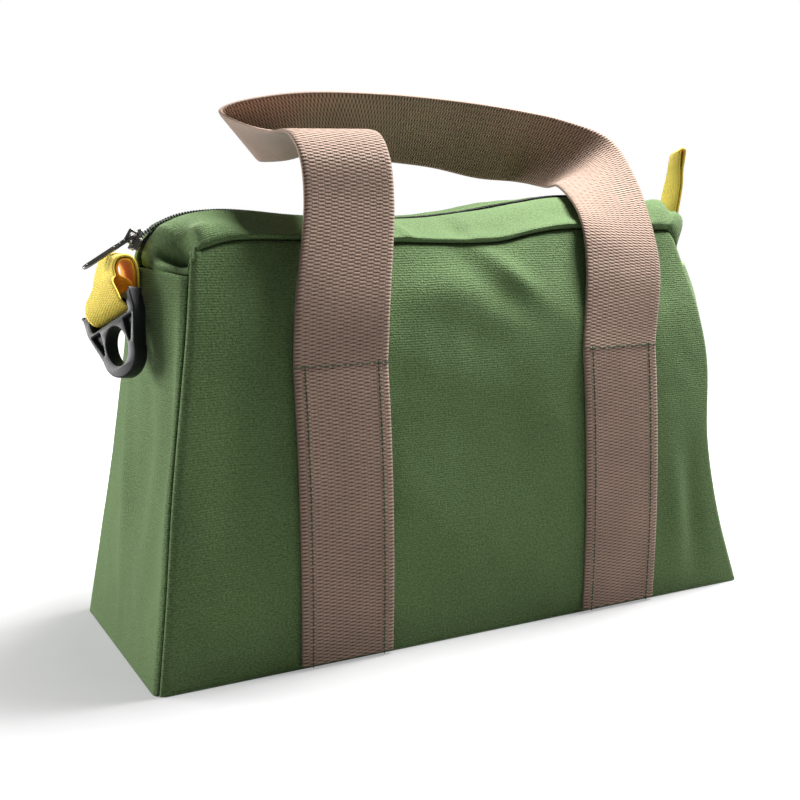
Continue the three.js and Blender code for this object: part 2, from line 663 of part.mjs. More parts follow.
// The ring in its own plane: x along the bar, y up, z through its thickness
function ringGeometry() {
  const half = RING.topWidth / 2;
  const top = RING.barHeight / 2;
  const outline = new THREE.Shape();
  outline.moveTo(-half + RING.chamfer, top);
  outline.lineTo(-half, top - RING.chamfer);
  outline.lineTo(-half, -RING.slotHeight - top);
  outline.lineTo(-RING.tipRadius, -RING.tipDrop);
  outline.absarc(0, -RING.tipDrop, RING.tipRadius, Math.PI, 2 * Math.PI, false);
  outline.lineTo(half, -RING.slotHeight - top);
  outline.lineTo(half, top - RING.chamfer);
  outline.lineTo(half - RING.chamfer, top);
  outline.closePath();
  const slotHalf = RING.slotWidth / 2;
  const slotLow = -RING.slotHeight - top;
  outline.holes.push(rectanglePath(new THREE.Path(), -slotHalf, slotHalf, slotLow, -top));
  const eye = new THREE.Path();
  eye.absellipse(0, -RING_EYE.drop, RING_EYE.halfWidth, RING_EYE.halfHeight, 0, 2 * Math.PI, true);
  outline.holes.push(eye);
  const body = new THREE.ExtrudeGeometry(outline, {
    depth: RING.thick - 2 * RING_BEVEL,
    bevelEnabled: true,
    bevelThickness: RING_BEVEL,
    bevelSize: RING_BEVEL,
    bevelOffset: -RING_BEVEL,
    bevelSegments: 1,
    curveSegments: RING_ARC_STEPS,
  });
  body.translate(0, 0, RING_BEVEL - RING.thick / 2);
  let solid = solidOf(body);
  for (const side of [-1, 1]) {
    for (const face of [-1, 1]) {
      const pocket = new THREE.Shape();
      const rimX = RING_EYE.halfWidth + RING_EYE.rim;
      pocket.moveTo(side * rimX, slotLow - RING_EYE.rim);
      pocket.lineTo(side * (half - POCKET.wall), slotLow - RING_EYE.rim);
      pocket.lineTo(side * (rimX + POCKET.lowWidth), -RING_EYE.drop - POCKET.lowDrop);
      pocket.lineTo(side * rimX, -RING_EYE.drop + POCKET.rise);
      pocket.closePath();
      const depth = POCKET.depth + CUT_OVER;
      const cut = new THREE.ExtrudeGeometry(pocket, { depth, bevelEnabled: false });
      cut.translate(0, 0, face > 0 ? RING.thick / 2 - POCKET.depth : -RING.thick / 2 - CUT_OVER);
      solid = solid.subtract(solidOf(cut));
    }
  }
  return geometryOf(solid);
}

// Frame of a thing that hangs along one direction with its width along another
function hangingFrame(origin, hang, across) {
  const up = hang.clone().normalize().negate();
  const x = across.clone().addScaledVector(up, -across.dot(up)).normalize();
  return new THREE.Matrix4().makeBasis(x, up, x.clone().cross(up)).setPosition(origin);
}

// The slider straddles the chain: a plate with two flanges and a bail on top
function sliderGeometry() {
  const half = SLIDER.width / 2;
  const inner = half - SLIDER.flange;
  const section = new THREE.Shape();
  section.moveTo(-half, -CHAIN_THICK);
  section.lineTo(-inner, -CHAIN_THICK);
  section.lineTo(-inner, 0);
  section.lineTo(inner, 0);
  section.lineTo(inner, -CHAIN_THICK);
  section.lineTo(half, -CHAIN_THICK);
  section.lineTo(half, SLIDER.plate);
  section.lineTo(-half, SLIDER.plate);
  section.closePath();
  const body = new THREE.ExtrudeGeometry(section, { depth: SLIDER.length, bevelEnabled: false });
  body.translate(0, 0, -SLIDER.length / 2);
  const bailHalf = BAIL.length / 2;
  const arch = rectanglePath(new THREE.Shape(), -bailHalf, bailHalf, -BAIL.root, BAIL.height);
  const eyeHalf = bailHalf - BAIL.wire;
  arch.holes.push(rectanglePath(new THREE.Path(), -eyeHalf, eyeHalf, BAIL.root, BAIL.height - BAIL.wire));
  const bail = new THREE.ExtrudeGeometry(arch, { depth: BAIL.thick, bevelEnabled: false });
  bail.translate(0, SLIDER.plate, -BAIL.thick / 2);
  bail.rotateY(Math.PI / 2);
  return geometryOf(solidOf(body).add(solidOf(bail)));
}

// The pull hangs from its head bar, which lies through the bail
function pullGeometry() {
  const head = PULL.headWidth / 2;
  const half = PULL.width / 2;
  const bar = PULL.thick / 2;
  const plate = new THREE.Shape();
  plate.moveTo(-head, bar);
  const low = bar - PULL.length + half;
  plate.lineTo(-head, -PULL.eyeLength - PULL.neck);
  plate.lineTo(-half, -PULL.eyeLength - PULL.shoulder);
  plate.lineTo(-half, low);
  plate.absarc(0, low, half, Math.PI, 2 * Math.PI, false);
  plate.lineTo(half, -PULL.eyeLength - PULL.shoulder);
  plate.lineTo(head, -PULL.eyeLength - PULL.neck);
  plate.lineTo(head, bar);
  plate.closePath();
  const eyeHalf = PULL.eyeWidth / 2;
  plate.holes.push(rectanglePath(new THREE.Path(), -eyeHalf, eyeHalf, -bar - PULL.eyeLength, -bar));
  const windowHalf = half - PULL.frame;
  const windowLow = low - PULL.windowDrop;
  const windowTop = windowLow + PULL.windowLength;
  plate.holes.push(rectanglePath(new THREE.Path(), -windowHalf, windowHalf, windowLow, windowTop));
  const tab = new THREE.ExtrudeGeometry(plate, {
    depth: PULL.thick,
    bevelEnabled: false,
    curveSegments: PULL_ARC_STEPS,
  });
  tab.translate(0, 0, -PULL.thick / 2);
  return tab;
}

const bag = new THREE.Group();

function addPiece(parent, name, geometry, finish) {
  const mesh = new THREE.Mesh(geometry, new THREE.MeshStandardMaterial(COLOURS[finish]));
  mesh.name = name;
  parent.add(mesh);
  return mesh;
}

function placedGroup(matrix) {
  const group = new THREE.Group();
  group.applyMatrix4(matrix);
  bag.add(group);
  return group;
}

addPiece(bag, "front_panel", longPanel(-1), "canvas");
addPiece(bag, "back_panel", longPanel(1), "canvas");
addPiece(bag, "end_panel_left", endPanel(-1), "canvas");
addPiece(bag, "end_panel_right", endPanel(1), "canvas");
addPiece(bag, "base_panel", basePanel(), "canvas");
addPiece(bag, "top_strip_front", roofStrip(-1, FRONT_ROOF_FOLDS), "canvas");
addPiece(bag, "top_strip_back", roofStrip(1, BACK_ROOF_FOLDS), "canvas");

addPiece(bag, "zip_tape_front", zipTape(-1, FRONT_ROOF_FOLDS), "zip");
addPiece(bag, "zip_tape_back", zipTape(1, BACK_ROOF_FOLDS), "zip");
addPiece(bag, "zip_chain", zipChain(), "zip");

addPiece(bag, "handle_front", handle(-1, frontSpan), "webbing");
addPiece(bag, "handle_back", handle(1, backSpan), "webbing");
addPiece(bag, "loop_left", foldedTab(LEFT_TAB, BAR_CLEAR + TAB_THICK / 2), "tab");
addPiece(bag, "loop_right", foldedTab(RIGHT_TAB, TAB_TOP_HALF_GAP), "tab");

const ringBar = tableStation(LEFT_TAB.at(-1), 1).middle;
const ring = placedGroup(hangingFrame(ringBar, RING_HANG, RING_BAR));
addPiece(ring, "ring_left", ringGeometry(), "plastic");

const sliderSpot = zipCurve.getPointAt(SLIDER_SHARE);
const sliderRun = zipCurve.getTangentAt(SLIDER_SHARE);
const sliderUp = new THREE.Vector3(-sliderRun.z, 0, sliderRun.x);
const sliderSide = sliderUp.clone().cross(sliderRun);
const sliderLift = GAP + CHAIN_THICK - CANVAS;
const sliderFrame = new THREE.Matrix4().makeBasis(sliderSide, sliderUp, sliderRun).setPosition(
  sliderSpot.clone().addScaledVector(sliderUp, sliderLift),
);
const slider = placedGroup(sliderFrame);
addPiece(slider, "zip_slider", sliderGeometry(), "metal");

const pullHeight = sliderLift + SLIDER.plate + (BAIL.height - BAIL.wire + BAIL.root) / 2;
const pullPivot = sliderSpot.clone().addScaledVector(sliderUp, pullHeight);
const pull = placedGroup(hangingFrame(pullPivot, PULL_HANG, new THREE.Vector3(0, -1, 0)));
addPiece(pull, "zip_pull", pullGeometry(), "metal");

export default bag;
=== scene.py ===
# %% [markdown]
# # A green canvas tool bag
#
# The bag stands on its base with the zip closed and one handle fallen back over the top.
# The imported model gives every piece's place and size. It is made of plain thin walls, so
# each visible piece is made again here, finer, in the same place: cloth with its weave,
# webbing with its yarns, stitches, a zip with teeth, and a moulded ring.

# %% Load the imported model
import math

import bmesh
import bpy
import numpy as np
from mathutils import Matrix, Vector, noise


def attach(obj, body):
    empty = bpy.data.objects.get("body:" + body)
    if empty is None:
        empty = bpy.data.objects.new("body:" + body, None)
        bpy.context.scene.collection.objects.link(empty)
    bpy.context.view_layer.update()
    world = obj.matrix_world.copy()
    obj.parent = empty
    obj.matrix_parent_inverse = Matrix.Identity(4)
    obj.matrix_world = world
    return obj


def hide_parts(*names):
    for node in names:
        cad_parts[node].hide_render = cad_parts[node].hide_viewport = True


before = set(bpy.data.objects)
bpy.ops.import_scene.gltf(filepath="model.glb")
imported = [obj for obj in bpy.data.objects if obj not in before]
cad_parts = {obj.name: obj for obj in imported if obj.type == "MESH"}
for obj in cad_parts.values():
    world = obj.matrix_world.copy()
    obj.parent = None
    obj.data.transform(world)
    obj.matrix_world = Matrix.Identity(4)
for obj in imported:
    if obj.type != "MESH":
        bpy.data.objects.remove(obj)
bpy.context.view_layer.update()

MM = 0.001

# %% [markdown]
# ## The camera
#
# The camera comes first, because every look at the work goes through it. Its place and lens
# were found by fitting a pinhole camera to the corners of the base, the edges of the straps
# and the stitch lines. A lens of about 50 mm, some 0.66 m away, gives the strong perspective.

# %% Camera
scene = bpy.context.scene
camera_data = bpy.data.cameras.new("studio_camera")
camera_data.sensor_width = 36
camera_data.lens = 49.4445
camera_data.clip_start = 0.01
camera = bpy.data.objects.new("studio_camera", camera_data)
camera.location = (-0.30857, -0.53948, 0.21567)
camera.rotation_euler = (math.radians(90 - 9.2), 0, math.radians(-28.309))
scene.collection.objects.link(camera)
scene.camera = camera
print("camera at", tuple(camera.location))

# %% [markdown]
# ## Nodes without clicking
#
# A material is a small graph. Two helpers keep the graphs readable in a script: one makes a
# node and fills or links its inputs, the other does arithmetic. Effects that several
# finishes share, such as a weave or lint, are node groups, built once with named inputs.

# %% Helpers for shader graphs
def add(tree, kind, inputs=(), **settings):
    made = tree.nodes.new(kind)
    for name, value in settings.items():
        setattr(made, name, value)
    for key, value in dict(inputs).items():
        if isinstance(value, bpy.types.NodeSocket):
            tree.links.new(value, made.inputs[key])
        else:
            made.inputs[key].default_value = value
    return made


def calc(tree, operation, *values):
    return add(tree, "ShaderNodeMath", enumerate(values), operation=operation).outputs[0]


def blend_colour(tree, share, low, high, kind="MIX"):
    made = add(tree, "ShaderNodeMix", {0: share, 6: low, 7: high}, data_type="RGBA", blend_type=kind)
    return made.outputs[2]


def remap(tree, value, low, high, to_low=0.0, to_high=1.0):
    made = add(tree, "ShaderNodeMapRange", {0: value, 1: low, 2: high, 3: to_low, 4: to_high})
    return made.outputs[0]


def make_group(name, inputs, outputs):
    tree = bpy.data.node_groups.new(name, "ShaderNodeTree")
    for label, kind, value in inputs:
        socket = tree.interface.new_socket(label, in_out="INPUT", socket_type=kind)
        socket.default_value = value
    for label, kind in outputs:
        tree.interface.new_socket(label, in_out="OUTPUT", socket_type=kind)
    start = tree.nodes.new("NodeGroupInput")
    end = tree.nodes.new("NodeGroupOutput")
    return tree, start.outputs, end.inputs


FLOAT = "NodeSocketFloat"
VECTOR = "NodeSocketVector"

# %% [markdown]
# ## Shared effects
#
# Canvas is a plain weave with thicker threads across, so it shows fine level ribs. Webbing
# has columns of yarn that dive under in turn, each column half a row from the next, which
# looks like staggered dark dashes.
# Both are worked out from the piece's own UV map, which is in metres, so the threads have
# their real size and follow the cloth round every bend.

# %% Group: canvas threads
def canvas_threads():
    tree, given, out = make_group(
        "canvas_threads",
        [("Place", VECTOR, (0, 0, 0)), ("Rib", FLOAT, 0.0012), ("Thread", FLOAT, 0.0009)],
        [("Height", FLOAT), ("Tone", FLOAT)],
    )
    waver = add(tree, "ShaderNodeTexNoise", {"Vector": given["Place"], "Scale": 90, "Detail": 3})
    sway = calc(tree, "MULTIPLY", waver.outputs[0], 1.2)
    split = add(tree, "ShaderNodeSeparateXYZ", {0: given["Place"]})
    across = calc(tree, "ADD", calc(tree, "DIVIDE", split.outputs[1], given["Rib"]), sway)
    along = calc(tree, "ADD", calc(tree, "DIVIDE", split.outputs[0], given["Thread"]), sway)
    row = calc(tree, "FLOOR", across)
    shifted = calc(tree, "ADD", along, calc(tree, "MULTIPLY", row, 0.5))
    rib = calc(tree, "ABSOLUTE", calc(tree, "SINE", calc(tree, "MULTIPLY", across, math.pi)))
    bead = calc(tree, "ABSOLUTE", calc(tree, "SINE", calc(tree, "MULTIPLY", shifted, math.pi)))
    height = calc(tree, "MULTIPLY", rib, calc(tree, "MULTIPLY_ADD", bead, 0.4, 0.6))
    slub = add(tree, "ShaderNodeTexNoise", {"Vector": given["Place"], "Scale": 900, "Detail": 2})
    grain = remap(tree, slub.outputs[0], 0.25, 0.75)
    tree.links.new(calc(tree, "MULTIPLY_ADD", grain, 0.6, calc(tree, "MULTIPLY", height, 0.4)), out["Height"])
    tree.links.new(calc(tree, "MULTIPLY_ADD", height, 0.3, calc(tree, "MULTIPLY", grain, 0.7)), out["Tone"])
    return tree


CANVAS_THREADS = canvas_threads()


# %% Group: webbing yarns
def webbing_yarns():
    tree, given, out = make_group(
        "webbing_yarns",
        [("Place", VECTOR, (0, 0, 0)), ("Wale", FLOAT, 0.00333), ("Row", FLOAT, 0.0021)],
        [("Height", FLOAT), ("Fibre", FLOAT)],
    )
    split = add(tree, "ShaderNodeSeparateXYZ", {0: given["Place"]})
    across = calc(tree, "DIVIDE", split.outputs[0], given["Wale"])
    along = calc(tree, "DIVIDE", split.outputs[1], given["Row"])
    wale = calc(tree, "ABSOLUTE", calc(tree, "SINE", calc(tree, "MULTIPLY", across, math.pi)))
    every_other = calc(tree, "FLOORED_MODULO", calc(tree, "FLOOR", across), 2.0)
    along = calc(tree, "MULTIPLY_ADD", every_other, 0.5, along)
    float_run = calc(tree, "ABSOLUTE", calc(tree, "SINE", calc(tree, "MULTIPLY", along, math.pi)))
    dive = calc(tree, "SUBTRACT", 1.0, float_run)
    dash = calc(tree, "MULTIPLY", calc(tree, "POWER", wale, 0.6), dive)
    line = calc(tree, "POWER", calc(tree, "SUBTRACT", 1.0, wale), 3.0)
    height = calc(tree, "SUBTRACT", 1.0, calc(tree, "MULTIPLY", dash, 0.95))
    height = calc(tree, "SUBTRACT", height, calc(tree, "MULTIPLY", line, 0.35))
    tree.links.new(height, out["Height"])
    stretched = add(
        tree, "ShaderNodeVectorMath", {0: given["Place"], 1: (2600, 700, 1)}, operation="MULTIPLY"
    )
    fibre = add(tree, "ShaderNodeTexNoise", {"Vector": stretched.outputs[0], "Scale": 1, "Detail": 2})
    tree.links.new(fibre.outputs[0], out["Fibre"])
    return tree


WEBBING_YARNS = webbing_yarns()


# %% Group: lint
def lint_specks():
    tree, given, out = make_group(
        "lint_specks",
        [("Place", VECTOR, (0, 0, 0)), ("Density", FLOAT, 90.0), ("Size", FLOAT, 0.05)],
        [("Mask", FLOAT)],
    )
    cells = add(tree, "ShaderNodeTexVoronoi", {"Vector": given["Place"], "Scale": given["Density"]})
    pick = add(tree, "ShaderNodeSeparateColor", {0: cells.outputs[1]}).outputs[0]
    keep = calc(tree, "GREATER_THAN", pick, 0.55)
    speck = calc(tree, "LESS_THAN", cells.outputs[0], given["Size"])
    tree.links.new(calc(tree, "MULTIPLY", speck, keep), out["Mask"])
    return tree


LINT_SPECKS = lint_specks()


# %% Group: mottle
def mottle_group():
    tree, given, out = make_group(
        "mottle",
        [("Place", VECTOR, (0, 0, 0)), ("Broad", FLOAT, 18.0), ("Fine", FLOAT, 240.0)],
        [("Value", FLOAT)],
    )
    broad = add(tree, "ShaderNodeTexNoise", {"Vector": given["Place"], "Scale": given["Broad"], "Detail": 4})
    fine = add(tree, "ShaderNodeTexNoise", {"Vector": given["Place"], "Scale": given["Fine"], "Detail": 3})
    both = calc(tree, "MULTIPLY_ADD", fine.outputs[0], 0.35, calc(tree, "MULTIPLY", broad.outputs[0], 0.65))
    tree.links.new(both, out["Value"])
    return tree


MOTTLE = mottle_group()
print("groups", [g.name for g in bpy.data.node_groups])


# %% Materials share a start
def new_material(name):
    material = bpy.data.materials.new(name)
    material.use_nodes = True
    tree = material.node_tree
    tree.nodes.clear()
    shader = tree.nodes.new("ShaderNodeBsdfPrincipled")
    end = tree.nodes.new("ShaderNodeOutputMaterial")
    tree.links.new(shader.outputs[0], end.inputs["Surface"])
    return material, tree, shader


def use_group(tree, group, **values):
    made = tree.nodes.new("ShaderNodeGroup")
    made.node_tree = group
    for name, value in values.items():
        if isinstance(value, bpy.types.NodeSocket):
            tree.links.new(value, made.inputs[name])
        else:
            made.inputs[name].default_value = value
    return made.outputs


def bump(tree, shader, height, distance, strength=1.0):
    made = add(tree, "ShaderNodeBump", {"Height": height, "Distance": distance, "Strength": strength})
    tree.links.new(made.outputs[0], shader.inputs["Normal"])


# %% [markdown]
# ## Canvas
#
# The cloth is a heavy cotton canvas, dyed green. Close by it shows ribs, slubs and pale
# lint, and its raised edges are lighter: rubbed wear together with a painted highlight, strongest
# along the end panels' top edges. The rim attribute, stored on the mesh, says how near a point
# lies to a cut or folded edge.

# %% Canvas finish
def canvas_finish(name, deep, pale):
    material, tree, shader = new_material(name)
    place = add(tree, "ShaderNodeUVMap", uv_map="weave").outputs[0]
    threads = use_group(tree, CANVAS_THREADS, Place=place)
    mottle = use_group(tree, MOTTLE, Place=place, Broad=14.0, Fine=300.0)
    lint = use_group(tree, LINT_SPECKS, Place=place, Density=220.0, Size=0.07)
    tone = calc(tree, "MULTIPLY_ADD", mottle["Value"], 0.4, calc(tree, "MULTIPLY", threads["Tone"], 0.6))
    colour = blend_colour(tree, remap(tree, tone, 0.2, 0.8), (*deep, 1), (*pale, 1))
    # Lighter near the rim: rubbed wear and a painted highlight on the folded edges.
    rim = add(tree, "ShaderNodeAttribute", attribute_name="rim").outputs["Fac"]
    rubbed_and_highlight = calc(tree, "MULTIPLY", rim, calc(tree, "MULTIPLY", threads["Tone"], 0.8))
    worn_and_highlight = tuple(min(1, v * 2.2 + 0.03) for v in pale)
    colour = blend_colour(tree, rubbed_and_highlight, colour, (*worn_and_highlight, 1))
    colour = blend_colour(tree, calc(tree, "MULTIPLY", lint["Mask"], 0.3), colour, (0.42, 0.5, 0.34, 1))
    tree.links.new(colour, shader.inputs["Base Color"])
    shader.inputs["Roughness"].default_value = 0.92
    shader.inputs["Specular IOR Level"].default_value = 0.25
    shader.inputs["Sheen Weight"].default_value = 0.22
    shader.inputs["Sheen Roughness"].default_value = 0.5
    shader.inputs["Sheen Tint"].default_value = (0.75, 0.9, 0.6, 1)
    bump(tree, shader, threads["Height"], 0.0004)
    return material


CANVAS_GREEN = canvas_finish("canvas_green", (0.04, 0.076, 0.024), (0.17, 0.27, 0.104))

# %% [markdown]
# ## Webbing, thread, plastic and metal
#
# The handles are brown webbing: pale yarns over dark gaps, with a smoother back face whose
# darker colour is painted shade. The tabs are a finer yellow webbing that light passes into,
# with an orange hollow side that is painted shade and bounced light. The ring is moulded black
# plastic with a dull gloss, and the slider is dark plated metal.

# %% Webbing finish
def webbing_finish(name, gap, yarn, wale, row, depth, sheen, smooth, glow=0.0):
    material, tree, shader = new_material(name)
    place = add(tree, "ShaderNodeUVMap", uv_map="weave").outputs[0]
    yarns = use_group(tree, WEBBING_YARNS, Place=place, Wale=wale, Row=row)
    mottle = use_group(tree, MOTTLE, Place=place, Broad=30.0, Fine=420.0)
    lift = calc(tree, "MULTIPLY_ADD", yarns["Fibre"], 0.3, calc(tree, "MULTIPLY", yarns["Height"], 0.85))
    colour = blend_colour(tree, remap(tree, lift, 0.25, 1.05), (*gap, 1), (*yarn, 1))
    # The rim mask swaps in the third colour: on the handles a darker smooth back face, partly painted shade;
    # on the left tab the orange painted shade of its hollow.
    back = add(tree, "ShaderNodeAttribute", attribute_name="rim").outputs["Fac"]
    colour = blend_colour(tree, calc(tree, "MULTIPLY", back, 0.85), colour, (*smooth, 1))
    lift = calc(tree, "MULTIPLY", lift, calc(tree, "SUBTRACT", 1.0, calc(tree, "MULTIPLY", back, 0.8)))
    shade = remap(tree, mottle["Value"], 0.3, 0.7, 0.82, 1.12)
    grey = add(tree, "ShaderNodeCombineColor", {0: shade, 1: shade, 2: shade}).outputs[0]
    colour = blend_colour(tree, 1.0, colour, grey, "MULTIPLY")
    tree.links.new(colour, shader.inputs["Base Color"])
    shader.inputs["Roughness"].default_value = 0.8
    shader.inputs["Specular IOR Level"].default_value = 0.3
    shader.inputs["Sheen Weight"].default_value = sheen
    shader.inputs["Sheen Roughness"].default_value = 0.45
    shader.inputs["Subsurface Weight"].default_value = glow
    shader.inputs["Subsurface Radius"].default_value = (1.0, 0.45, 0.05)
    shader.inputs["Subsurface Scale"].default_value = 0.003
    bump(tree, shader, lift, depth)
    return material


# Its third colour is the smooth back face, darker than the yarns: painted shade on the inner band.
WEBBING_BROWN = webbing_finish(
    "webbing_brown", (0.03, 0.018, 0.014), (0.5, 0.34, 0.255), 0.05 / 14, 0.0018, 0.0006, 0.12,
    (0.34, 0.245, 0.195),
)
# Its third colour is the hollow side's orange: painted shade and bounced light.
WEBBING_YELLOW = webbing_finish(
    "webbing_yellow", (0.9, 0.57, 0.03), (1.0, 0.84, 0.17), 0.025 / 18, 0.0012, 0.0003, 0.1,
    (0.95, 0.34, 0.004), 0.2,
)


# %% Plain finishes with grain
def grained_finish(name, low, high, rough, metal, grain, depth, broad=60.0, gloss=0.5):
    material, tree, shader = new_material(name)
    place = add(tree, "ShaderNodeTexCoord").outputs["Object"]
    mottle = use_group(tree, MOTTLE, Place=place, Broad=broad, Fine=grain)
    tone = remap(tree, mottle["Value"], 0.3, 0.7)
    tree.links.new(blend_colour(tree, tone, (*low, 1), (*high, 1)), shader.inputs["Base Color"])
    tree.links.new(remap(tree, mottle["Value"], 0.3, 0.7, rough[0], rough[1]), shader.inputs["Roughness"])
    shader.inputs["Metallic"].default_value = metal
    shader.inputs["Specular IOR Level"].default_value = gloss
    bump(tree, shader, mottle["Value"], depth)
    return material


PLASTIC_BLACK = grained_finish(
    "plastic_black", (0.012, 0.012, 0.014), (0.024, 0.024, 0.028), (0.35, 0.5), 0, 900.0, 0.00008,
    gloss=0.25,
)
METAL_DARK = grained_finish(
    "metal_dark", (0.2, 0.19, 0.18), (0.36, 0.35, 0.34), (0.2, 0.36), 1, 1500.0, 0.00003
)
COIL_BLACK = grained_finish(
    "coil_black", (0.006, 0.006, 0.007), (0.02, 0.02, 0.022), (0.3, 0.5), 0, 1200.0, 0.00005
)
TAPE_BLACK = webbing_finish(
    "tape_black", (0.004, 0.004, 0.005), (0.022, 0.022, 0.024), 0.0009, 0.0007, 0.0001, 0.1,
    (0.03, 0.03, 0.032),
)
THREAD_GREEN = grained_finish(
    "thread_green", (0.035, 0.058, 0.03), (0.1, 0.15, 0.08), (0.7, 0.9), 0, 2500.0, 0.0001
)
print("finishes", len(bpy.data.materials))


# %% [markdown]
# ## From numbers to a piece
#
# Cloth is worked out on grids of points, in millimetres. The shell helper gives a grid its
# thickness along its own normals and closes its rim, so every wall is a solid sheet whose
# faces point outwards.

# %% Mesh helpers
BAG_MIDDLE = np.array([0.0, 0.0, 110.0])


def unit(vectors):
    return vectors / np.maximum(np.linalg.norm(vectors, axis=-1, keepdims=True), 1e-9)


def lerp(low, high, share):
    return low + (high - low) * share


def new_piece(name, points, faces, material, uv=None, rim=None, smooth=True):
    mesh = bpy.data.meshes.new(name)
    mesh.from_pydata((np.asarray(points) * MM).tolist(), [], faces)
    mesh.polygons.foreach_set("use_smooth", np.full(len(mesh.polygons), smooth))
    if uv is not None:
        corner = np.empty(len(mesh.loops), np.int32)
        mesh.loops.foreach_get("vertex_index", corner)
        layer = mesh.uv_layers.new(name="weave")
        layer.data.foreach_set("uv", (np.asarray(uv) * MM)[corner].ravel())
    if rim is not None:
        mesh.attributes.new("rim", "FLOAT", "POINT").data.foreach_set("value", np.asarray(rim, float))
    mesh.materials.append(material)
    made = bpy.data.objects.new(name, mesh)
    scene.collection.objects.link(made)
    print(name, len(mesh.vertices), "points", len(mesh.polygons), "faces")
    return made


def settle(piece, body, slot, *nodes):
    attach(piece, body)
    if nodes:
        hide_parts(*nodes)


def grid_quads(rows, cols):
    index = np.arange(rows * cols).reshape(rows, cols)
    quads = [index[:-1, :-1], index[:-1, 1:], index[1:, 1:], index[1:, :-1]]
    return np.stack(quads, axis=-1).reshape(-1, 4)


def shell(outer, thick, mitres=None):
    rows, cols = outer.shape[:2]
    normal = unit(np.cross(np.gradient(outer, axis=1), np.gradient(outer, axis=0)))
    turned = np.sum(normal * (outer - BAG_MIDDLE)) < 0
    if turned:
        normal = -normal
    inward = -normal * thick
    if mitres is not None:
        inward[0, :, 2] = 0
        inward[:, 0] = unit(np.array(mitres[0], float)) * thick
        inward[:, -1] = unit(np.array(mitres[1], float)) * thick
    points = np.concatenate([outer.reshape(-1, 3), (outer + inward).reshape(-1, 3)])
    skin = grid_quads(rows, cols)
    under = rows * cols
    index = np.arange(under).reshape(rows, cols)
    rim = np.concatenate([index[0, :], index[1:, -1], index[-1, -2::-1], index[-2:0:-1, 0]])
    ahead = np.roll(rim, -1)
    band = np.stack([rim, rim + under, ahead + under, ahead], axis=-1)
    faces = np.concatenate([skin, skin[:, ::-1] + under, band])
    if turned:
        faces = faces[:, ::-1]
    return points, faces.tolist()


def top_rim(outer, reach, amount):
    run = np.cumsum(np.linalg.norm(np.diff(outer, axis=0, prepend=outer[:1]), axis=2), axis=0)
    share = amount * np.exp(-((run[-1:] - run) / reach)).ravel()
    return np.concatenate([share, share])


def doubled(grid_uv):
    flat = grid_uv.reshape(-1, 2)
    return np.concatenate([flat, flat])


# %% [markdown]
# ## The walls' shape
#
# The bag's shape follows short tables: where the upright seams stand at each height, how far
# each panel bulges past them, and where the soft folds lie. Between the rows the values run
# smoothly, by Hermite interpolation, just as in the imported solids.

# %% Tables of the walls
WALL_NAMES = ("z", "left", "left_back", "right", "depth", "bulge", "left_bulge", "right_bulge")
WALLS = np.array([
    (0, 180, 180, 179, 66.8, 0, 0, 0),
    (45, 175, 172, 163, 66, 2, 0, 3),
    (90, 170, 164.5, 155, 63, 4, 0.5, 6),
    (135, 163, 158.5, 157, 57.5, 6, 4, 9),
    (165, 157.5, 155, 153.5, 51.5, 7, 8, 12),
    (190, 153, 152, 147.5, 44.5, 3, 11, 16),
    (212, 148.5, 148.5, 142, 38, 0, 11, 16),
])
TOP_SEAM = np.array([
    (-151, 201.5), (-131, 206.5), (-96, 206.5), (-44, 205),
    (16, 204.5), (44, 209), (67, 211.5), (142, 210.5),
])
# Folds: place along the wall, height, turn in degrees, length, width, rise
FRONT_FOLDS = [
    (21, 190, -36, 20, 6, 2.6), (15, 178, -36, 26, 9, -2), (0, 100, 90, 50, 36, -3),
    (142, 50, 96, 36, 8, -3.5), (128, 55, 94, 34, 9, 2), (-140, 105, 82, 50, 16, -2.5),
    (-14, 184, 4, 40, 12, 3.2), (-8, 158, -12, 34, 13, -2), (-140, 186, 20, 24, 12, 2),
]
BACK_FOLDS = [(-20, 110, 80, 55, 34, -3), (132, 70, 100, 40, 12, -3)]
LEFT_END_FOLDS = [
    (14, 90, 84, 50, 10, 3.5), (-18, 105, 96, 45, 13, -3), (-46, 112, 92, 55, 14, -4),
]
RIGHT_END_FOLDS = [(14, 90, 84, 50, 10, 3.5), (-32, 162, 90, 26, 12, 7)]
CANVAS = 1.8
GAP = 0.3
SEAM_ROUND = 2
SEAM_REACH = 4
SEAM_HALF_SLIT = 0.225
FOOT_HEIGHT = 12
FOLD_FADE = 3
END_SEAM_Z = 191
END_SEAM_RISE = 3
ROOF_LEFT = -150
ROOF_RIGHT = 142


# %% Functions of the walls
def smooth_column(table, value, place):
    x = table[:, 0]
    y = table[:, value]
    place = np.asarray(place, float)
    last = len(x) - 1
    knots = np.arange(last + 1)
    low, high = np.maximum(knots - 1, 0), np.minimum(knots + 1, last)
    slope = (y[high] - y[low]) / (x[high] - x[low])
    i = np.clip(np.searchsorted(x, place) - 1, 0, last - 1)
    span = x[i + 1] - x[i]
    t = np.clip((place - x[i]) / span, 0, 1)
    leave = y[i] * (2 * t**3 - 3 * t**2 + 1) + slope[i] * span * (t**3 - 2 * t**2 + t)
    arrive = y[i + 1] * (3 * t**2 - 2 * t**3) + slope[i + 1] * span * (t**3 - t**2)
    return leave + arrive


def wall(name, z):
    return smooth_column(WALLS, WALL_NAMES.index(name), z)


def top_seam(x):
    return smooth_column(TOP_SEAM, 1, x)


def left_seam(side, z):
    return wall("left" if side < 0 else "left_back", z)


def fold_rise(folds, at, z):
    rise = 0.0
    for middle, height, turn, length, width, amount in folds:
        c, s = math.cos(math.radians(turn)), math.sin(math.radians(turn))
        along = (at - middle) * c + (z - height) * s
        across = (z - height) * c - (at - middle) * s
        rise = rise + amount * np.exp(-((along / length) ** 2) - (across / width) ** 2)
    return rise


def seam_turn(distance):
    return SEAM_ROUND * (1 - np.maximum(0, 1 - distance / SEAM_REACH) ** 2)


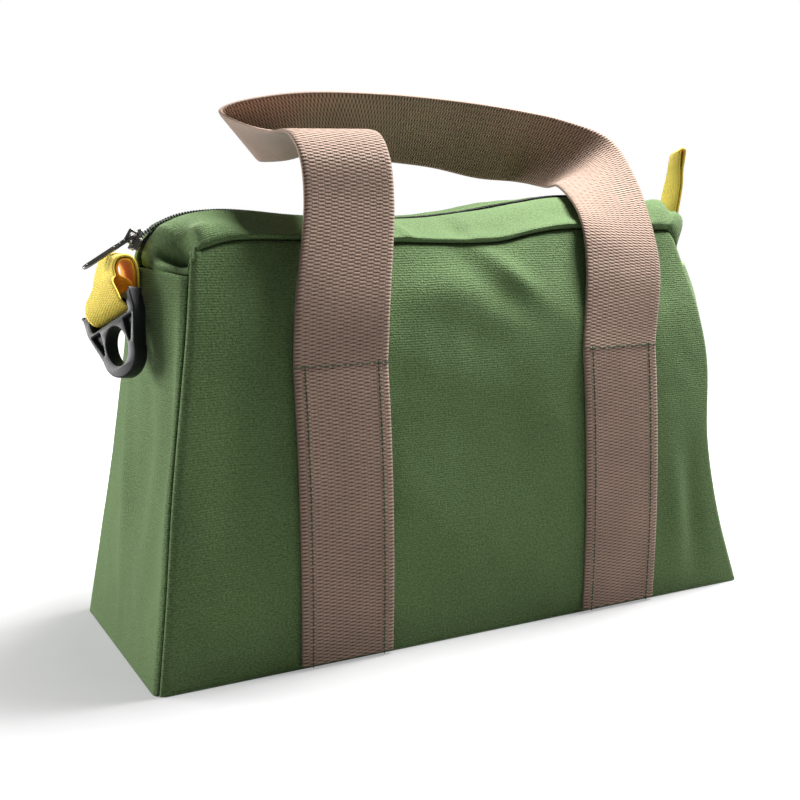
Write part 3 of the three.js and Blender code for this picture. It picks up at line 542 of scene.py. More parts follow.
def long_wall(side, x, z):
    left, right = left_seam(side, z), wall("right", z)
    share = 2 * (x + left) / (left + right) - 1
    middle = np.maximum(0, 1 - share * share)
    folded = fold_rise(FRONT_FOLDS if side < 0 else BACK_FOLDS, x, z) * np.minimum(1, middle * FOLD_FADE)
    soft = wall("bulge", z) * np.sqrt(middle) + folded
    edge = np.minimum(x + left, right - x)
    return wall("depth", z) + seam_turn(edge) + soft * np.minimum(1, z / FOOT_HEIGHT)


def end_wall(side, y, z):
    depth = wall("depth", z)
    share = y / depth
    middle = np.maximum(0, 1 - share * share)
    folds = LEFT_END_FOLDS if side < 0 else RIGHT_END_FOLDS
    folded = fold_rise(folds, y, z) * np.minimum(1, middle * FOLD_FADE)
    soft = wall("left_bulge" if side < 0 else "right_bulge", z) * middle + folded
    base = wall("right", z)
    if side < 0:
        base = lerp(left_seam(-1, z), left_seam(1, z), (1 + share) / 2)
    return base + seam_turn(depth - np.abs(y)) + soft * np.minimum(1, z / FOOT_HEIGHT)


# %% [markdown]
# ## Canvas panels
#
# Each panel is a fine grid over its wall's function. Noise adds the slight unevenness of
# real cloth, fading out at the seams so that neighbours still meet.

# %% Cloth unevenness
def ripple(place, height, seed, broad, fine):
    spots = np.stack([place, height], axis=-1).reshape(-1, 2)
    out = [
        broad * noise.noise(Vector((a / 34, b / 46, seed)))
        + fine * noise.noise(Vector((a / 11, b / 15, seed + 7)))
        for a, b in spots
    ]
    return np.array(out).reshape(place.shape)


def seam_shares(count, near):
    edge = np.linspace(0, near, 7)
    middle = np.linspace(near - 1, 1 - near, count)[1:-1]
    return np.concatenate([edge - 1, middle, (1 - edge)[::-1]])


WALL_ROWS = np.concatenate([
    np.linspace(0, 0.03, 4), np.linspace(0.03, 0.965, 64)[1:], np.linspace(0.965, 1, 8)[1:],
])
EDGE_TURN = 0.03
EDGE_ROUND = 2.2


def long_panel(side):
    share = seam_shares(118, 0.03)[None, :] * np.ones((len(WALL_ROWS), 1))
    half = (1 + share) / 2
    z = WALL_ROWS[:, None] * top_seam(lerp(ROOF_LEFT, ROOF_RIGHT, half))
    x = lerp(-left_seam(side, z), wall("right", z), half) - SEAM_HALF_SLIT * share
    calm = np.minimum(1, (1 - np.abs(share)) * 12) * np.minimum(1, WALL_ROWS[:, None] * 15)
    strap = np.minimum(1, np.abs(np.abs(x) - 85) / 12) ** 2
    out = long_wall(side, x, z) + calm * strap * ripple(x, z, 3 + side, 0.8, 0.35)
    near_top = np.clip(1 - (1 - WALL_ROWS[:, None]) / EDGE_TURN, 0, 1)
    out = out - EDGE_ROUND * (1 - np.sqrt(1 - near_top**2))
    return np.stack([x, side * out, z], axis=-1), np.stack([x, z], axis=-1)


def end_panel(side):
    share = seam_shares(46, 0.07)[None, :] * np.ones((len(WALL_ROWS), 1))
    z = WALL_ROWS[:, None] * (END_SEAM_Z + END_SEAM_RISE * (1 - share * share))
    y = share * (wall("depth", z) - SEAM_HALF_SLIT)
    calm = np.minimum(1, (1 - np.abs(share)) * 8) * np.minimum(1, WALL_ROWS[:, None] * 15)
    calm_top = np.minimum(1, (1 - WALL_ROWS[:, None]) * 6)
    out = end_wall(side, y, z) + calm * calm_top * ripple(y, z, 11 + side, 1.0, 0.4)
    return np.stack([side * out, y, z], axis=-1), np.stack([y, z], axis=-1)


# %% Make the panels
for side, name in ((-1, "front_panel"), (1, "back_panel")):
    outer, spots = long_panel(side)
    points, faces = shell(outer, CANVAS, [(1, -side, 0), (-1, -side, 0)])
    piece = new_piece(f"canvas_{name}", points, faces, CANVAS_GREEN, doubled(spots), top_rim(outer, 1, 0.1))
    settle(piece, "bag", "canvas", name)

for side, name in ((-1, "end_panel_left"), (1, "end_panel_right")):
    outer, spots = end_panel(side)
    points, faces = shell(outer, CANVAS, [(-side, 1, 0), (-side, -1, 0)])
    # Full rim strength here: the pale top edge of each end panel is a painted highlight, with rubbed wear.
    piece = new_piece(f"canvas_{name}", points, faces, CANVAS_GREEN, doubled(spots), top_rim(outer, 0.8, 1))
    settle(piece, "bag", "canvas", name)

# %% [markdown]
# ## The base
#
# The base is a flat piece between the walls' feet. Nobody sees its inside, so it is plain
# cloth with cut corners.

# %% Base
base_out = SEAM_ROUND - CANVAS - GAP
base_half = wall("depth", CANVAS) + base_out
base_left = -wall("left_back", CANVAS) - base_out
base_right = wall("right", CANVAS) + base_out
base_cut = SEAM_REACH + SEAM_ROUND
base_inner = np.linspace(base_left + base_cut, base_right - base_cut, 60)
base_x = np.concatenate([[base_left], base_inner, [base_right]])
base_reach = np.where((base_x == base_left) | (base_x == base_right), base_half - base_cut, base_half)
base_share = np.linspace(-1, 1, 25)[:, None]
base_y = base_share * base_reach[None, :]
base_grid = np.stack([base_x[None, :] + 0 * base_y, base_y, 0 * base_y], axis=-1)
points, faces = shell(base_grid, CANVAS)
base = new_piece(
    "canvas_base", points, faces, CANVAS_GREEN, doubled(base_grid[..., :2]), np.zeros(2 * base_y.size)
)
settle(base, "bag", "canvas", "base_panel")

# %% [markdown]
# ## The roof and its zip line
#
# Two strips of canvas close the top, one on each side of the zip, and turn down over both
# ends. The zip's line is a curve through thirteen points. A strip runs from the long seam
# to that line, crowned between them, with tucks near its ends.

# %% The zip's line
ZIP_LINE = np.array([
    (-163, 0, 194), (-164.5, 0, 206), (-148, 0, 218), (-124, 0, 222), (-77, 0, 219), (-22, 0, 218),
    (11, 0, 220.5), (54, 0, 227), (84, 0, 231), (120, 0, 230), (147, 0, 224), (164, 0, 209), (162, 0, 194),
])


def centripetal(points, share):
    points = np.asarray(points, float)
    full = np.vstack([2 * points[0] - points[1], points, 2 * points[-1] - points[-2]])
    place = np.asarray(share) * (len(points) - 1)
    i = np.minimum(place.astype(int), len(points) - 2)
    w = (place - i)[:, None]
    p0, p1, p2, p3 = (full[i + k] for k in range(4))

    def span(a, b):
        return np.maximum(np.sum((a - b) ** 2, axis=1, keepdims=True) ** 0.25, 1e-4)

    d0, d1, d2 = span(p0, p1), span(p1, p2), span(p2, p3)
    leave = ((p1 - p0) / d0 - (p2 - p0) / (d0 + d1) + (p2 - p1) / d1) * d1
    arrive = ((p2 - p1) / d1 - (p3 - p1) / (d1 + d2) + (p3 - p2) / d2) * d1
    return (
        p1 + leave * w + (3 * (p2 - p1) - 2 * leave - arrive) * w**2 + (2 * (p1 - p2) + leave + arrive) * w**3
    )


def run_lengths(points):
    return np.concatenate([[0], np.cumsum(np.linalg.norm(np.diff(points, axis=0), axis=1))])


zip_fine = centripetal(ZIP_LINE, np.linspace(0, 1, 3000))
zip_run = run_lengths(zip_fine)
ZIP_LENGTH = zip_run[-1]


def zip_point(along):
    place = np.asarray(along) * ZIP_LENGTH
    return np.stack([np.interp(place, zip_run, zip_fine[:, k]) for k in range(3)], axis=-1)


def zip_tangent(along):
    step = 0.002
    along = np.asarray(along)
    return unit(zip_point(np.minimum(along + step, 1)) - zip_point(np.maximum(along - step, 0)))


print("zip length", round(ZIP_LENGTH, 1), "mm")

# %% Roof strips
ROOF_DROP_SHARE = 0.07
ROOF_CROWN = 4
ROOF_SIDE_TUCK = 2.65
ROOF_END_TUCK = 2.9
ROOF_CORNER_INSET = 3.4
ROOF_FADE_SEAM = 6
ROOF_FADE_ZIP = 4
ZIP_HALF_SLOT = 4
# Folds: share along, share across, reach along, reach across, rise
FRONT_ROOF_FOLDS = [
    (0.06, 0.28, 0.024, 0.25, -9), (0.11, 0.15, 0.03, 0.25, 4), (0.4, 0.15, 0.012, 0.3, 2.5),
    (0.5, 0.35, 0.02, 0.3, -2.5), (0.905, 0.35, 0.03, 0.4, 11), (0.939, 0.12, 0.012, 0.2, 11),
    (0.966, 0.15, 0.012, 0.25, -8),
]
BACK_ROOF_FOLDS = [
    (0.085, 0.3, 0.03, 0.3, -6), (0.58, 0.45, 0.12, 0.4, 5), (0.92, 0.35, 0.03, 0.3, -5),
]
TUCKS = {
    -1: [
        (0.044, 0.42, 0.008, 0.14, -12), (0.051, 0.26, 0.008, 0.14, -12), (0.059, 0.11, 0.007, 0.1, -9),
        (0.022, 0.45, 0.012, 0.2, 3), (0.085, 0.18, 0.015, 0.2, 5),
    ],
    1: [(0.06, 0.3, 0.014, 0.3, -6)],
}


def roof_edge(side, share):
    place = np.clip((share - ROOF_DROP_SHARE) / (1 - 2 * ROOF_DROP_SHARE), 0, 1)
    past_end = np.maximum.reduce([0 * share, ROOF_DROP_SHARE - share, share - 1 + ROOF_DROP_SHARE])
    fall = past_end / ROOF_DROP_SHARE
    z = lerp(top_seam(lerp(ROOF_LEFT, ROOF_RIGHT, place)), END_SEAM_Z, fall)
    x = lerp(-left_seam(side, z), wall("right", z), place) + ROOF_CORNER_INSET * (1 - 2 * place)
    return np.stack([x, side * (long_wall(side, x, z) - ROOF_SIDE_TUCK), z], axis=-1)


def roof_point(side, folds, along, across):
    along, across = np.broadcast_arrays(along, across)
    ridge = zip_point(along)
    ridge[..., 1] = side * ZIP_HALF_SLOT
    point = lerp(roof_edge(side, along), ridge, across[..., None])
    ends = np.minimum.reduce([np.ones_like(along), along / ROOF_DROP_SHARE, (1 - along) / ROOF_DROP_SHARE])
    seam_left = -(end_wall(-1, point[..., 1], END_SEAM_Z) - ROOF_END_TUCK)
    seam_right = end_wall(1, point[..., 1], END_SEAM_Z) - ROOF_END_TUCK
    point[..., 0] = lerp(np.where(along < 0.5, seam_left, seam_right), point[..., 0], ends)
    point[..., 2] = lerp(END_SEAM_Z + END_SEAM_RISE * across, point[..., 2], ends)
    rise = ROOF_CROWN * ends * 4 * across * (1 - across)
    fade = np.minimum.reduce([np.ones_like(along), across * ROOF_FADE_SEAM, (1 - across) * ROOF_FADE_ZIP])
    for f_along, f_across, reach, span, amount in folds:
        far = ((along - f_along) / reach) ** 2 + ((across - f_across) / span) ** 2
        rise = rise + amount * np.exp(-far) * fade
    tangent = zip_tangent(along)
    point[..., 0] -= tangent[..., 2] * rise
    point[..., 2] += tangent[..., 0] * rise
    return point


ROOF_TUCK_ROWS = (5, 2.5)
ZIP_EDGE_SINK = 1.6
ROLL_REACH = 0.06
ROLL_INSET = 2.5
ROLL_OUT = 4.5
ROLL_RISE = 1.4


def roof_strip(side, folds):
    along = np.concatenate([
        np.linspace(0, 0.16, 60), np.linspace(0.16, 0.84, 130)[1:-1], np.linspace(0.84, 1, 60),
    ])
    across = np.concatenate([
        np.linspace(0, 0.12, 9), np.linspace(0.12, 0.9, 22)[1:], np.linspace(0.9, 1, 6)[1:],
    ])
    grid = roof_point(side, folds + TUCKS[side], along[None, :], across[:, None])
    wave = ripple(grid[..., 0], grid[..., 1] * 2 + 300, 21 + side, 0.9, 0.4)
    grid[..., 2] += wave * np.minimum(1, across * 8)[:, None] * np.minimum(1, (1 - across) * 5)[:, None]
    top = np.minimum(1, np.minimum(along, 1 - along) * 12)[None, :]
    grid[..., 2] -= ZIP_EDGE_SINK * (np.clip((across - 0.8) / 0.2, 0, 1) ** 2)[:, None] * top
    grid[0, :, 1] -= side * ROLL_INSET * top[0]
    swell = (across / ROLL_REACH * np.exp(1 - across / ROLL_REACH))[:, None] * top
    grid[..., 1] += side * ROLL_OUT * swell
    grid[..., 2] += ROLL_RISE * swell
    tucked = [grid[0] - np.array([0, 0, drop]) for drop in ROOF_TUCK_ROWS]
    grid = np.concatenate([np.stack(tucked), grid])
    wide = np.cumsum(np.linalg.norm(np.diff(grid, axis=0, prepend=grid[:1]), axis=2), axis=0)
    return grid, np.stack([np.broadcast_to(along * ZIP_LENGTH, wide.shape), wide], axis=-1)


for side, name, folds in ((-1, "top_strip_front", FRONT_ROOF_FOLDS), (1, "top_strip_back", BACK_ROOF_FOLDS)):
    outer, spots = roof_strip(side, folds)
    points, faces = shell(outer, CANVAS)
    no_rim = np.zeros(len(points))
    piece = new_piece(f"canvas_{name}", points, faces, CANVAS_GREEN, doubled(spots), no_rim)
    settle(piece, "bag", "canvas", name)

# %% [markdown]
# ## Geometry Nodes for stitches and teeth
#
# A stitch, or a zip's tooth, is one small rounded bead, repeated along a path. The path is
# a chain of edges that carries a lift attribute: the direction off the cloth. The tree
# turns the chain into a curve, spaces beads along it, and turns each one along the path
# and up from the cloth. Realize Instances makes them real geometry.

# %% The bead tree
def bead_tree():
    tree = bpy.data.node_groups.new("beads_on_path", "GeometryNodeTree")
    tree.interface.new_socket("Geometry", in_out="INPUT", socket_type="NodeSocketGeometry")
    sizes = {}
    for label in ("Pitch", "Length", "Width", "Height", "Unevenness"):
        sizes[label] = tree.interface.new_socket(label, in_out="INPUT", socket_type=FLOAT).identifier
    sizes["Material"] = tree.interface.new_socket(
        "Material", in_out="INPUT", socket_type="NodeSocketMaterial"
    ).identifier
    tree.interface.new_socket("Geometry", in_out="OUTPUT", socket_type="NodeSocketGeometry")
    start = tree.nodes.new("NodeGroupInput").outputs
    chain = add(tree, "GeometryNodeMeshToCurve", {"Mesh": start["Geometry"]})
    spaced = add(
        tree,
        "GeometryNodeResampleCurve",
        {"Curve": chain.outputs[0], "Length": start["Pitch"]},
        mode="LENGTH",
    )
    ball = add(tree, "GeometryNodeMeshUVSphere", {"Segments": 8, "Rings": 5, "Radius": 0.5})
    size = add(
        tree, "ShaderNodeCombineXYZ", {0: start["Length"], 1: start["Width"], 2: start["Height"]}
    )
    bead = add(tree, "GeometryNodeTransform", {"Geometry": ball.outputs[0], "Scale": size.outputs[0]})
    tangent = tree.nodes.new("GeometryNodeInputTangent")
    lift = add(tree, "GeometryNodeInputNamedAttribute", {"Name": "lift"}, data_type="FLOAT_VECTOR")
    forward = add(tree, "FunctionNodeAlignRotationToVector", {"Vector": tangent.outputs[0]}, axis="X")
    upright = add(
        tree,
        "FunctionNodeAlignRotationToVector",
        {"Rotation": forward.outputs[0], "Vector": lift.outputs[0]},
        axis="Z",
        pivot_axis="X",
    )
    low = calc(tree, "SUBTRACT", 1.0, start["Unevenness"])
    high = calc(tree, "ADD", 1.0, start["Unevenness"])
    vary = add(tree, "FunctionNodeRandomValue", {"Min": low, "Max": high, "Seed": 5}, data_type="FLOAT")
    vary_value = next(s for s in vary.outputs if s.type == "VALUE" and s.enabled)
    placed = add(
        tree,
        "GeometryNodeInstanceOnPoints",
        {
            "Points": spaced.outputs[0],
            "Instance": bead.outputs[0],
            "Rotation": upright.outputs[0],
            "Scale": vary_value,
        },
    )
    real = add(tree, "GeometryNodeRealizeInstances", {"Geometry": placed.outputs[0]})
    round_off = add(tree, "GeometryNodeSetShadeSmooth", {"Geometry": real.outputs[0]})
    painted = add(
        tree, "GeometryNodeSetMaterial", {"Geometry": round_off.outputs[0], "Material": start["Material"]}
    )
    end = tree.nodes.new("NodeGroupOutput")
    tree.links.new(painted.outputs[0], end.inputs[0])
    return tree, sizes


BEADS, BEAD_SIZES = bead_tree()


# %% Beads along paths
def bead_piece(name, paths, material, pitch, length, width, height, unevenness=0.12):
    points, edges, lifts = [], [], []
    for line, lift in paths:
        first = len(points)
        points.extend((np.asarray(line) * MM).tolist())
        lifts.extend(np.broadcast_to(np.asarray(lift, float), np.shape(line)).tolist())
        edges.extend((i, i + 1) for i in range(first, len(points) - 1))
    mesh = bpy.data.meshes.new(name + "_path")
    mesh.from_pydata(points, edges, [])
    mesh.attributes.new("lift", "FLOAT_VECTOR", "POINT").data.foreach_set("vector", np.ravel(lifts))
    carrier = bpy.data.objects.new(name, mesh)
    scene.collection.objects.link(carrier)
    modifier = carrier.modifiers.new("beads", "NODES")
    modifier.node_group = BEADS
    values = {"Pitch": pitch, "Length": length, "Width": width, "Height": height}
    for label, value in values.items():
        modifier[BEAD_SIZES[label]] = value * MM
    modifier[BEAD_SIZES["Unevenness"]] = unevenness
    modifier[BEAD_SIZES["Material"]] = material
    seen = carrier.evaluated_get(bpy.context.evaluated_depsgraph_get())
    made = bpy.data.meshes.new_from_object(seen)
    carrier.modifiers.remove(modifier)
    carrier.data = made
    made.name = name
    bpy.data.meshes.remove(mesh)
    print(name, len(made.polygons), "faces")
    return carrier


# %% [markdown]
# ## The zip
#
# Two black tapes lie under the strips' edges, and between them run the two rows of the
# coil's teeth, each half a step from the other, so that they mesh.

# %% Zip tapes and teeth
ZIP_END_SHARE = 0.03
TAPE_DEPTH = 2.25
TAPE_THICK = 0.8
TAPE_COVER_SHARE = 0.14
TAPE_HALF_SLIT = 0.8
TOOTH_PITCH = 1.5


def sink(point, along, depth):
    tangent = zip_tangent(along)
    moved = np.array(point, float)
    moved[..., 0] += tangent[..., 2] * depth
    moved[..., 2] -= tangent[..., 0] * depth
    return moved


def zip_line(along, y, depth):
    line = zip_point(along)
    line[..., 1] = y
    return sink(line, along, depth)


zip_shares = np.linspace(ZIP_END_SHARE, 1 - ZIP_END_SHARE, 220)
for side, name, folds in ((-1, "zip_tape_front", FRONT_ROOF_FOLDS), (1, "zip_tape_back", BACK_ROOF_FOLDS)):
    middle = zip_line(zip_shares, side * TAPE_HALF_SLIT, TAPE_DEPTH)
    edge = sink(roof_point(side, folds, zip_shares, np.array(1.0)), zip_shares, TAPE_DEPTH)
    cover = sink(
        roof_point(side, folds, zip_shares, np.array(1 - TAPE_COVER_SHARE)), zip_shares, TAPE_DEPTH + GAP
    )
    outer = np.stack([cover, lerp(cover, edge, 0.5), edge, lerp(edge, middle, 0.5), middle])
    wide = np.cumsum(np.linalg.norm(np.diff(outer, axis=0, prepend=outer[:1]), axis=2), axis=0)
    spots = np.stack([wide, np.broadcast_to(zip_shares * ZIP_LENGTH, wide.shape)], axis=-1)
    points, faces = shell(outer, TAPE_THICK)
    settle(new_piece(f"black_{name}", points, faces, TAPE_BLACK, doubled(spots)), "bag", "zip", name)

tooth_step = TOOTH_PITCH / ZIP_LENGTH
tooth_rows = []
for side in (-1, 1):
    shares = np.arange(ZIP_END_SHARE + tooth_step * (1 + side) / 4, 1 - ZIP_END_SHARE, tooth_step)
    tangent = zip_tangent(shares)
    up = np.stack([-tangent[:, 2], 0 * shares, tangent[:, 0]], axis=-1)
    tooth_rows.append((zip_line(shares, side * 1.15, 0.4), up))
teeth = bead_piece("zip_teeth", tooth_rows, COIL_BLACK, TOOTH_PITCH, 1.15, 2.9, 1.5, 0.03)
settle(teeth, "bag", "zip", "zip_chain")

# %% [markdown]
# ## Webbing
#
# A strap is a ribbon carried along a path: each station has a middle point and a direction
# across. A slight relief across it is real geometry, on both faces, and the finish adds the
# dark dashes. The face that lies on the bag is smoother, so a rim value marks it; that face's
# colour is set darker than the yarns as painted shade for the handle's inner band.

# %% Ribbon helper
def resample(middles, sides, step):
    run = run_lengths(middles)
    place = np.linspace(0, run[-1], int(run[-1] / step) + 1)
    middle = np.stack([np.interp(place, run, middles[:, k]) for k in range(3)], axis=-1)
    side = np.stack([np.interp(place, run, sides[:, k]) for k in range(3)], axis=-1)
    return middle, side, place


def face_of(middle, side):
    return unit(np.cross(np.gradient(middle, axis=0), side))


def squared(middles, acrosses, width):
    along = unit(np.gradient(middles, axis=0))
    side = acrosses - np.sum(acrosses * along, axis=1, keepdims=True) * along
    return middles, unit(side) * width / 2


def ribbon(path, width, thick, columns, row, relief, step):
    middle, side, place = resample(*path, step)
    face = face_of(middle, side)
    share = np.linspace(-1, 1, columns + 1)
    lift = relief * (np.abs(np.sin(np.pi * place[:, None] / row)) - 0.5) * np.ones((1, columns + 1))
    edge = 1 - 0.45 * np.abs(share) ** 18
    half = thick / 2 * edge[None, :] + lift
    flat = middle[:, None, :] + side[:, None, :] * share[None, :, None]
    outer = flat + face[:, None, :] * half[..., None]
    inner = (flat - face[:, None, :] * half[..., None])[:, ::-1]
    ring = np.concatenate([outer, inner], axis=1)
    rows, count = ring.shape[:2]
    index = np.arange(rows * count).reshape(rows, count)
    ahead = np.roll(index, -1, axis=1)
    quads = np.stack([index[:-1], index[1:], ahead[1:], ahead[:-1]], axis=-1).reshape(-1, 4).tolist()
    across_mm = (share + 1) / 2 * width
    u = np.broadcast_to(np.concatenate([across_mm, across_mm[::-1]]), (rows, count))
    v = np.broadcast_to(place[:, None], (rows, count))
    for r, turned in ((0, False), (rows - 1, True)):
        for k in range(count // 2 - 1):
            quad = [index[r, k], index[r, k + 1], index[r, count - 2 - k], index[r, count - 1 - k]]
            quads.append([int(i) for i in (quad[::-1] if turned else quad)])
    back = np.broadcast_to(np.arange(count) < count // 2, (rows, count)).astype(float)
    return ring.reshape(-1, 3), quads, np.stack([u, v], axis=-1).reshape(-1, 2), back.ravel()


def outward(points, faces):
    a, b, c = (points[[f[k] for f in faces]] for k in range(3))
    d = points[[f[3] for f in faces]]
    volume = np.sum(a * np.cross(b, c)) + np.sum(a * np.cross(c, d))
    return faces if volume > 0 else [f[::-1] for f in faces]


# %% Handle paths
HANDLE_WIDTH = 50
HANDLE_THICK = 2.2
STRAP_X = 85
STITCH_Z = 148
LEG_FOOT_Z = 2
LEG_GAP = 0.6
# Both edges of the front handle: outer x, y, z and inner x, y, z
FRONT_HANDLE = np.array([
    (-108, -64, 178, -58, -64, 178), (-99, -55, 225, -50, -53, 225), (-99, -50, 247, -50, -48, 248),
    (-100, -38, 258, -50, -35, 260), (-102, -15, 260, -53, -5, 259), (-108, 12, 267, -68, 38, 250),
    (-112, 24, 273, -77, 58, 250), (-105, 26, 277, -68, 61, 252), (-70, 22, 284, -38, 60, 256),
    (-20, 20, 286, -10, 60, 253), (35, 24, 285, 34, 58, 249), (75, 25, 282, 66, 55, 243),
    (108, 22, 277, 90, 49, 241), (132, 8, 266, 98, 28, 237), (131, -18, 242, 85, -5, 236),
    (122, -48, 206, 73, -42, 218), (118, -58, 186, 69, -54, 194),
])
# Middle line of the back handle with its width direction, from the left stitch line to its lowest point
BACK_HANDLE = np.array([
    (-85, 65, 178, 1, 0, 0), (-85, 76, 202, 1, 0, 0), (-83, 96, 200, 1, 0.1, 0), (-80, 106, 168, 1, 0.35, 0),
    (-74, 110, 128, 0.8, 0.6, 0.25), (-50, 113, 90, 0.4, 0.85, 0.4), (0, 115, 74, 0, 1, 0),
])


def sewn_leg(side, x, inward):
    z = np.linspace(LEG_FOOT_Z, STITCH_Z, 60)
    spots = [x + share * HANDLE_WIDTH for share in (-0.5, -0.25, 0, 0.25, 0.5)]
    reach = np.max([long_wall(side, np.full_like(z, spot), z) for spot in spots], axis=0)
    middle = np.stack([np.full_like(z, x), side * (reach + LEG_GAP + HANDLE_THICK / 2), z], axis=-1)
    return middle, np.tile((inward, 0.0, 0.0), (len(z), 1))


def smooth_stations(middles, acrosses, count):
    share = np.linspace(0, 1, count)
    place = share * (len(middles) - 1)
    i = np.minimum(place.astype(int), len(middles) - 2)
    across = lerp(acrosses[i], acrosses[i + 1], (place - i)[:, None])
    return centripetal(middles, share), unit(across)


SPAN_STEPS = 900


def front_span(start, stop):
    share = np.linspace(0, 1, SPAN_STEPS)
    edges = []
    for sign, columns in ((-1, slice(0, 3)), (1, slice(3, 6))):
        ends = [middle + sign * half for middle, half in (start, stop)]
        edges.append(centripetal(np.vstack([ends[:1], FRONT_HANDLE[:, columns], ends[1:]]), share))
    return (edges[0] + edges[1]) / 2, (edges[1] - edges[0]) / 2


def back_span(start, stop):
    mirror = np.array([-1, 1, 1, -1, 1, 1])
    rows = np.vstack([BACK_HANDLE, (BACK_HANDLE[:-1] * mirror)[::-1]])
    middles = np.vstack([start[:1], rows[:, :3], stop[:1]])
    acrosses = np.vstack([unit(start[1]), rows[:, 3:], unit(stop[1])])
    return squared(*smooth_stations(middles, acrosses, SPAN_STEPS), HANDLE_WIDTH)


def handle_path(side, span):
    left, left_half = squared(*sewn_leg(side, -STRAP_X, 1), HANDLE_WIDTH)
    right, right_half = (part[::-1] for part in squared(*sewn_leg(side, STRAP_X, -1), HANDLE_WIDTH))
    free, free_half = span((left[-1], left_half[-1]), (right[0], right_half[0]))
    return np.vstack([left[:-1], free, right[1:]]), np.vstack([left_half[:-1], free_half, right_half[1:]])


front_path = handle_path(-1, front_span)
back_path = handle_path(1, back_span)

# %% Handles
COLUMNS = 28
RELIEF_ROW = 2.3
HANDLE_RELIEF = 0.06
for name, path in (("handle_front", front_path), ("handle_back", back_path)):
    points, faces, spots, back = ribbon(
        path, HANDLE_WIDTH, HANDLE_THICK, COLUMNS, RELIEF_ROW, HANDLE_RELIEF, RELIEF_ROW / 4
    )
    # This face takes the darker smooth colour: a less ribbed back face, painted as shade.
    smooth_side_painted_shade = back if name == "handle_front" else 1 - back
    faces = outward(points, faces)
    piece = new_piece(f"webbing_{name}", points, faces, WEBBING_BROWN, spots, smooth_side_painted_shade)
    settle(piece, "bag", "webbing", name)
    print(name, "length", round(run_lengths(path[0])[-1]), "mm")

# %% [markdown]
# ## Tabs
#
# Each end carries a short length of yellow webbing, folded double. The left one arches over
# and opens round the ring's bar, and the right one stands up. A rim value marks the left
# one's hollow side, which is painted orange as shade and bounced light.

# %% Tabs
TAB_WIDTH = 25
TAB_THICK = 1.5
TAB_HALF_GAP = 0.95
BAR_CLEAR = 5.1
BAR_REACH = 10
RIGHT_FOLD_GAP = 1.5
TAB_COLUMNS = 36
TAB_ROW = 1.2
TAB_RELIEF = 0.12
TAB_STEP = 0.4
LEFT_TAB = np.array([
    (-168.2, 1, 184, 0, -1, 0), (-168.5, 1, 193.5, 0, -1, 0), (-171.2, 1, 198.4, 0.03, -1, 0),
    (-176.4, 1, 198.4, 0.05, -1, 0), (-179.3, 0.5, 193.5, 0.08, -1, 0.1),
    (-180, -1, 186, 0.22, -0.93, 0.26), (-179.5, -6.5, 176, 0.45, -0.77, 0.45),
])
RIGHT_TAB = np.array([
    (168.2, 0, 184, 0, -1, 0), (169.5, 0, 198, -0.15, -1, 0), (173.5, 0, 218, -0.3, -0.95, 0),
    (177.5, 0, 238, -0.35, -0.95, 0), (179, 0, 249, -0.45, -0.9, 0), (180.5, 0, 258, -0.48, -0.88, 0),
])


def folded_tab(rows, fold_half_gap):
    middle, half = squared(*smooth_stations(rows[:, :3], rows[:, 3:], 120), TAB_WIDTH)
    run = run_lengths(middle)
    near = (run[-1] - run) / BAR_REACH
    opening = lerp(TAB_HALF_GAP, fold_half_gap, np.exp(-(near**4)))[:, None]
    along = unit(np.gradient(middle, axis=0))
    face = unit(np.cross(along, half))
    angle = np.linspace(0, np.pi, 26)[1:-1, None]
    turn = middle[-1] + opening[-1] * (face[-1] * np.cos(angle) + along[-1] * np.sin(angle))
    line = np.vstack([middle + face * opening, turn, (middle - face * opening)[::-1]])
    return line, np.vstack([half, np.tile(half[-1], (len(turn), 1)), half[::-1]])


TABS = (("loop_left", LEFT_TAB, BAR_CLEAR + TAB_THICK / 2), ("loop_right", RIGHT_TAB, RIGHT_FOLD_GAP))
for name, rows, gap in TABS:
    path = folded_tab(rows, gap)
    points, faces, spots = ribbon(path, TAB_WIDTH, TAB_THICK, TAB_COLUMNS, TAB_ROW, TAB_RELIEF, TAB_STEP)[:3]
    # The left tab's returning layer is marked for the orange painted shade of its hollow.
    hollow_painted_shade = np.clip((spots[:, 1] / spots[:, 1].max() - 0.55) * 20, 0, 1) * (name == "loop_left")
    faces = outward(points, faces)
    piece = new_piece(f"webbing_{name}", points, faces, WEBBING_YELLOW, spots, hollow_painted_shade)
    settle(piece, "bag", "tab", name)

# %% [markdown]
# ## Plates with holes
#
# The ring, the pull and the slider are flat shapes with rounded edges. A 2-D curve does this
# well: its outline and holes are filled, extruded and bevelled in one step, and the result
# is turned into a mesh and put in its place.

# %% Plate helper
def arc(middle, radius, start, stop, count, tall=None):
    angle = np.radians(np.linspace(start, stop, count))
    tall = radius if tall is None else tall
    return [(middle[0] + radius * math.cos(a), middle[1] + tall * math.sin(a)) for a in angle]


def rounded(corners, radius, count=5):
    out = []
    for i, corner in enumerate(corners):
        here = np.array(corner, float)
        before = unit(np.array(corners[i - 1], float) - here)
        after = unit(np.array(corners[(i + 1) % len(corners)], float) - here)
        start, stop = here + before * radius, here + after * radius
        for t in np.linspace(0, 1, count):
            out.append(tuple((1 - t) ** 2 * start + 2 * t * (1 - t) * here + t * t * stop))
    return out


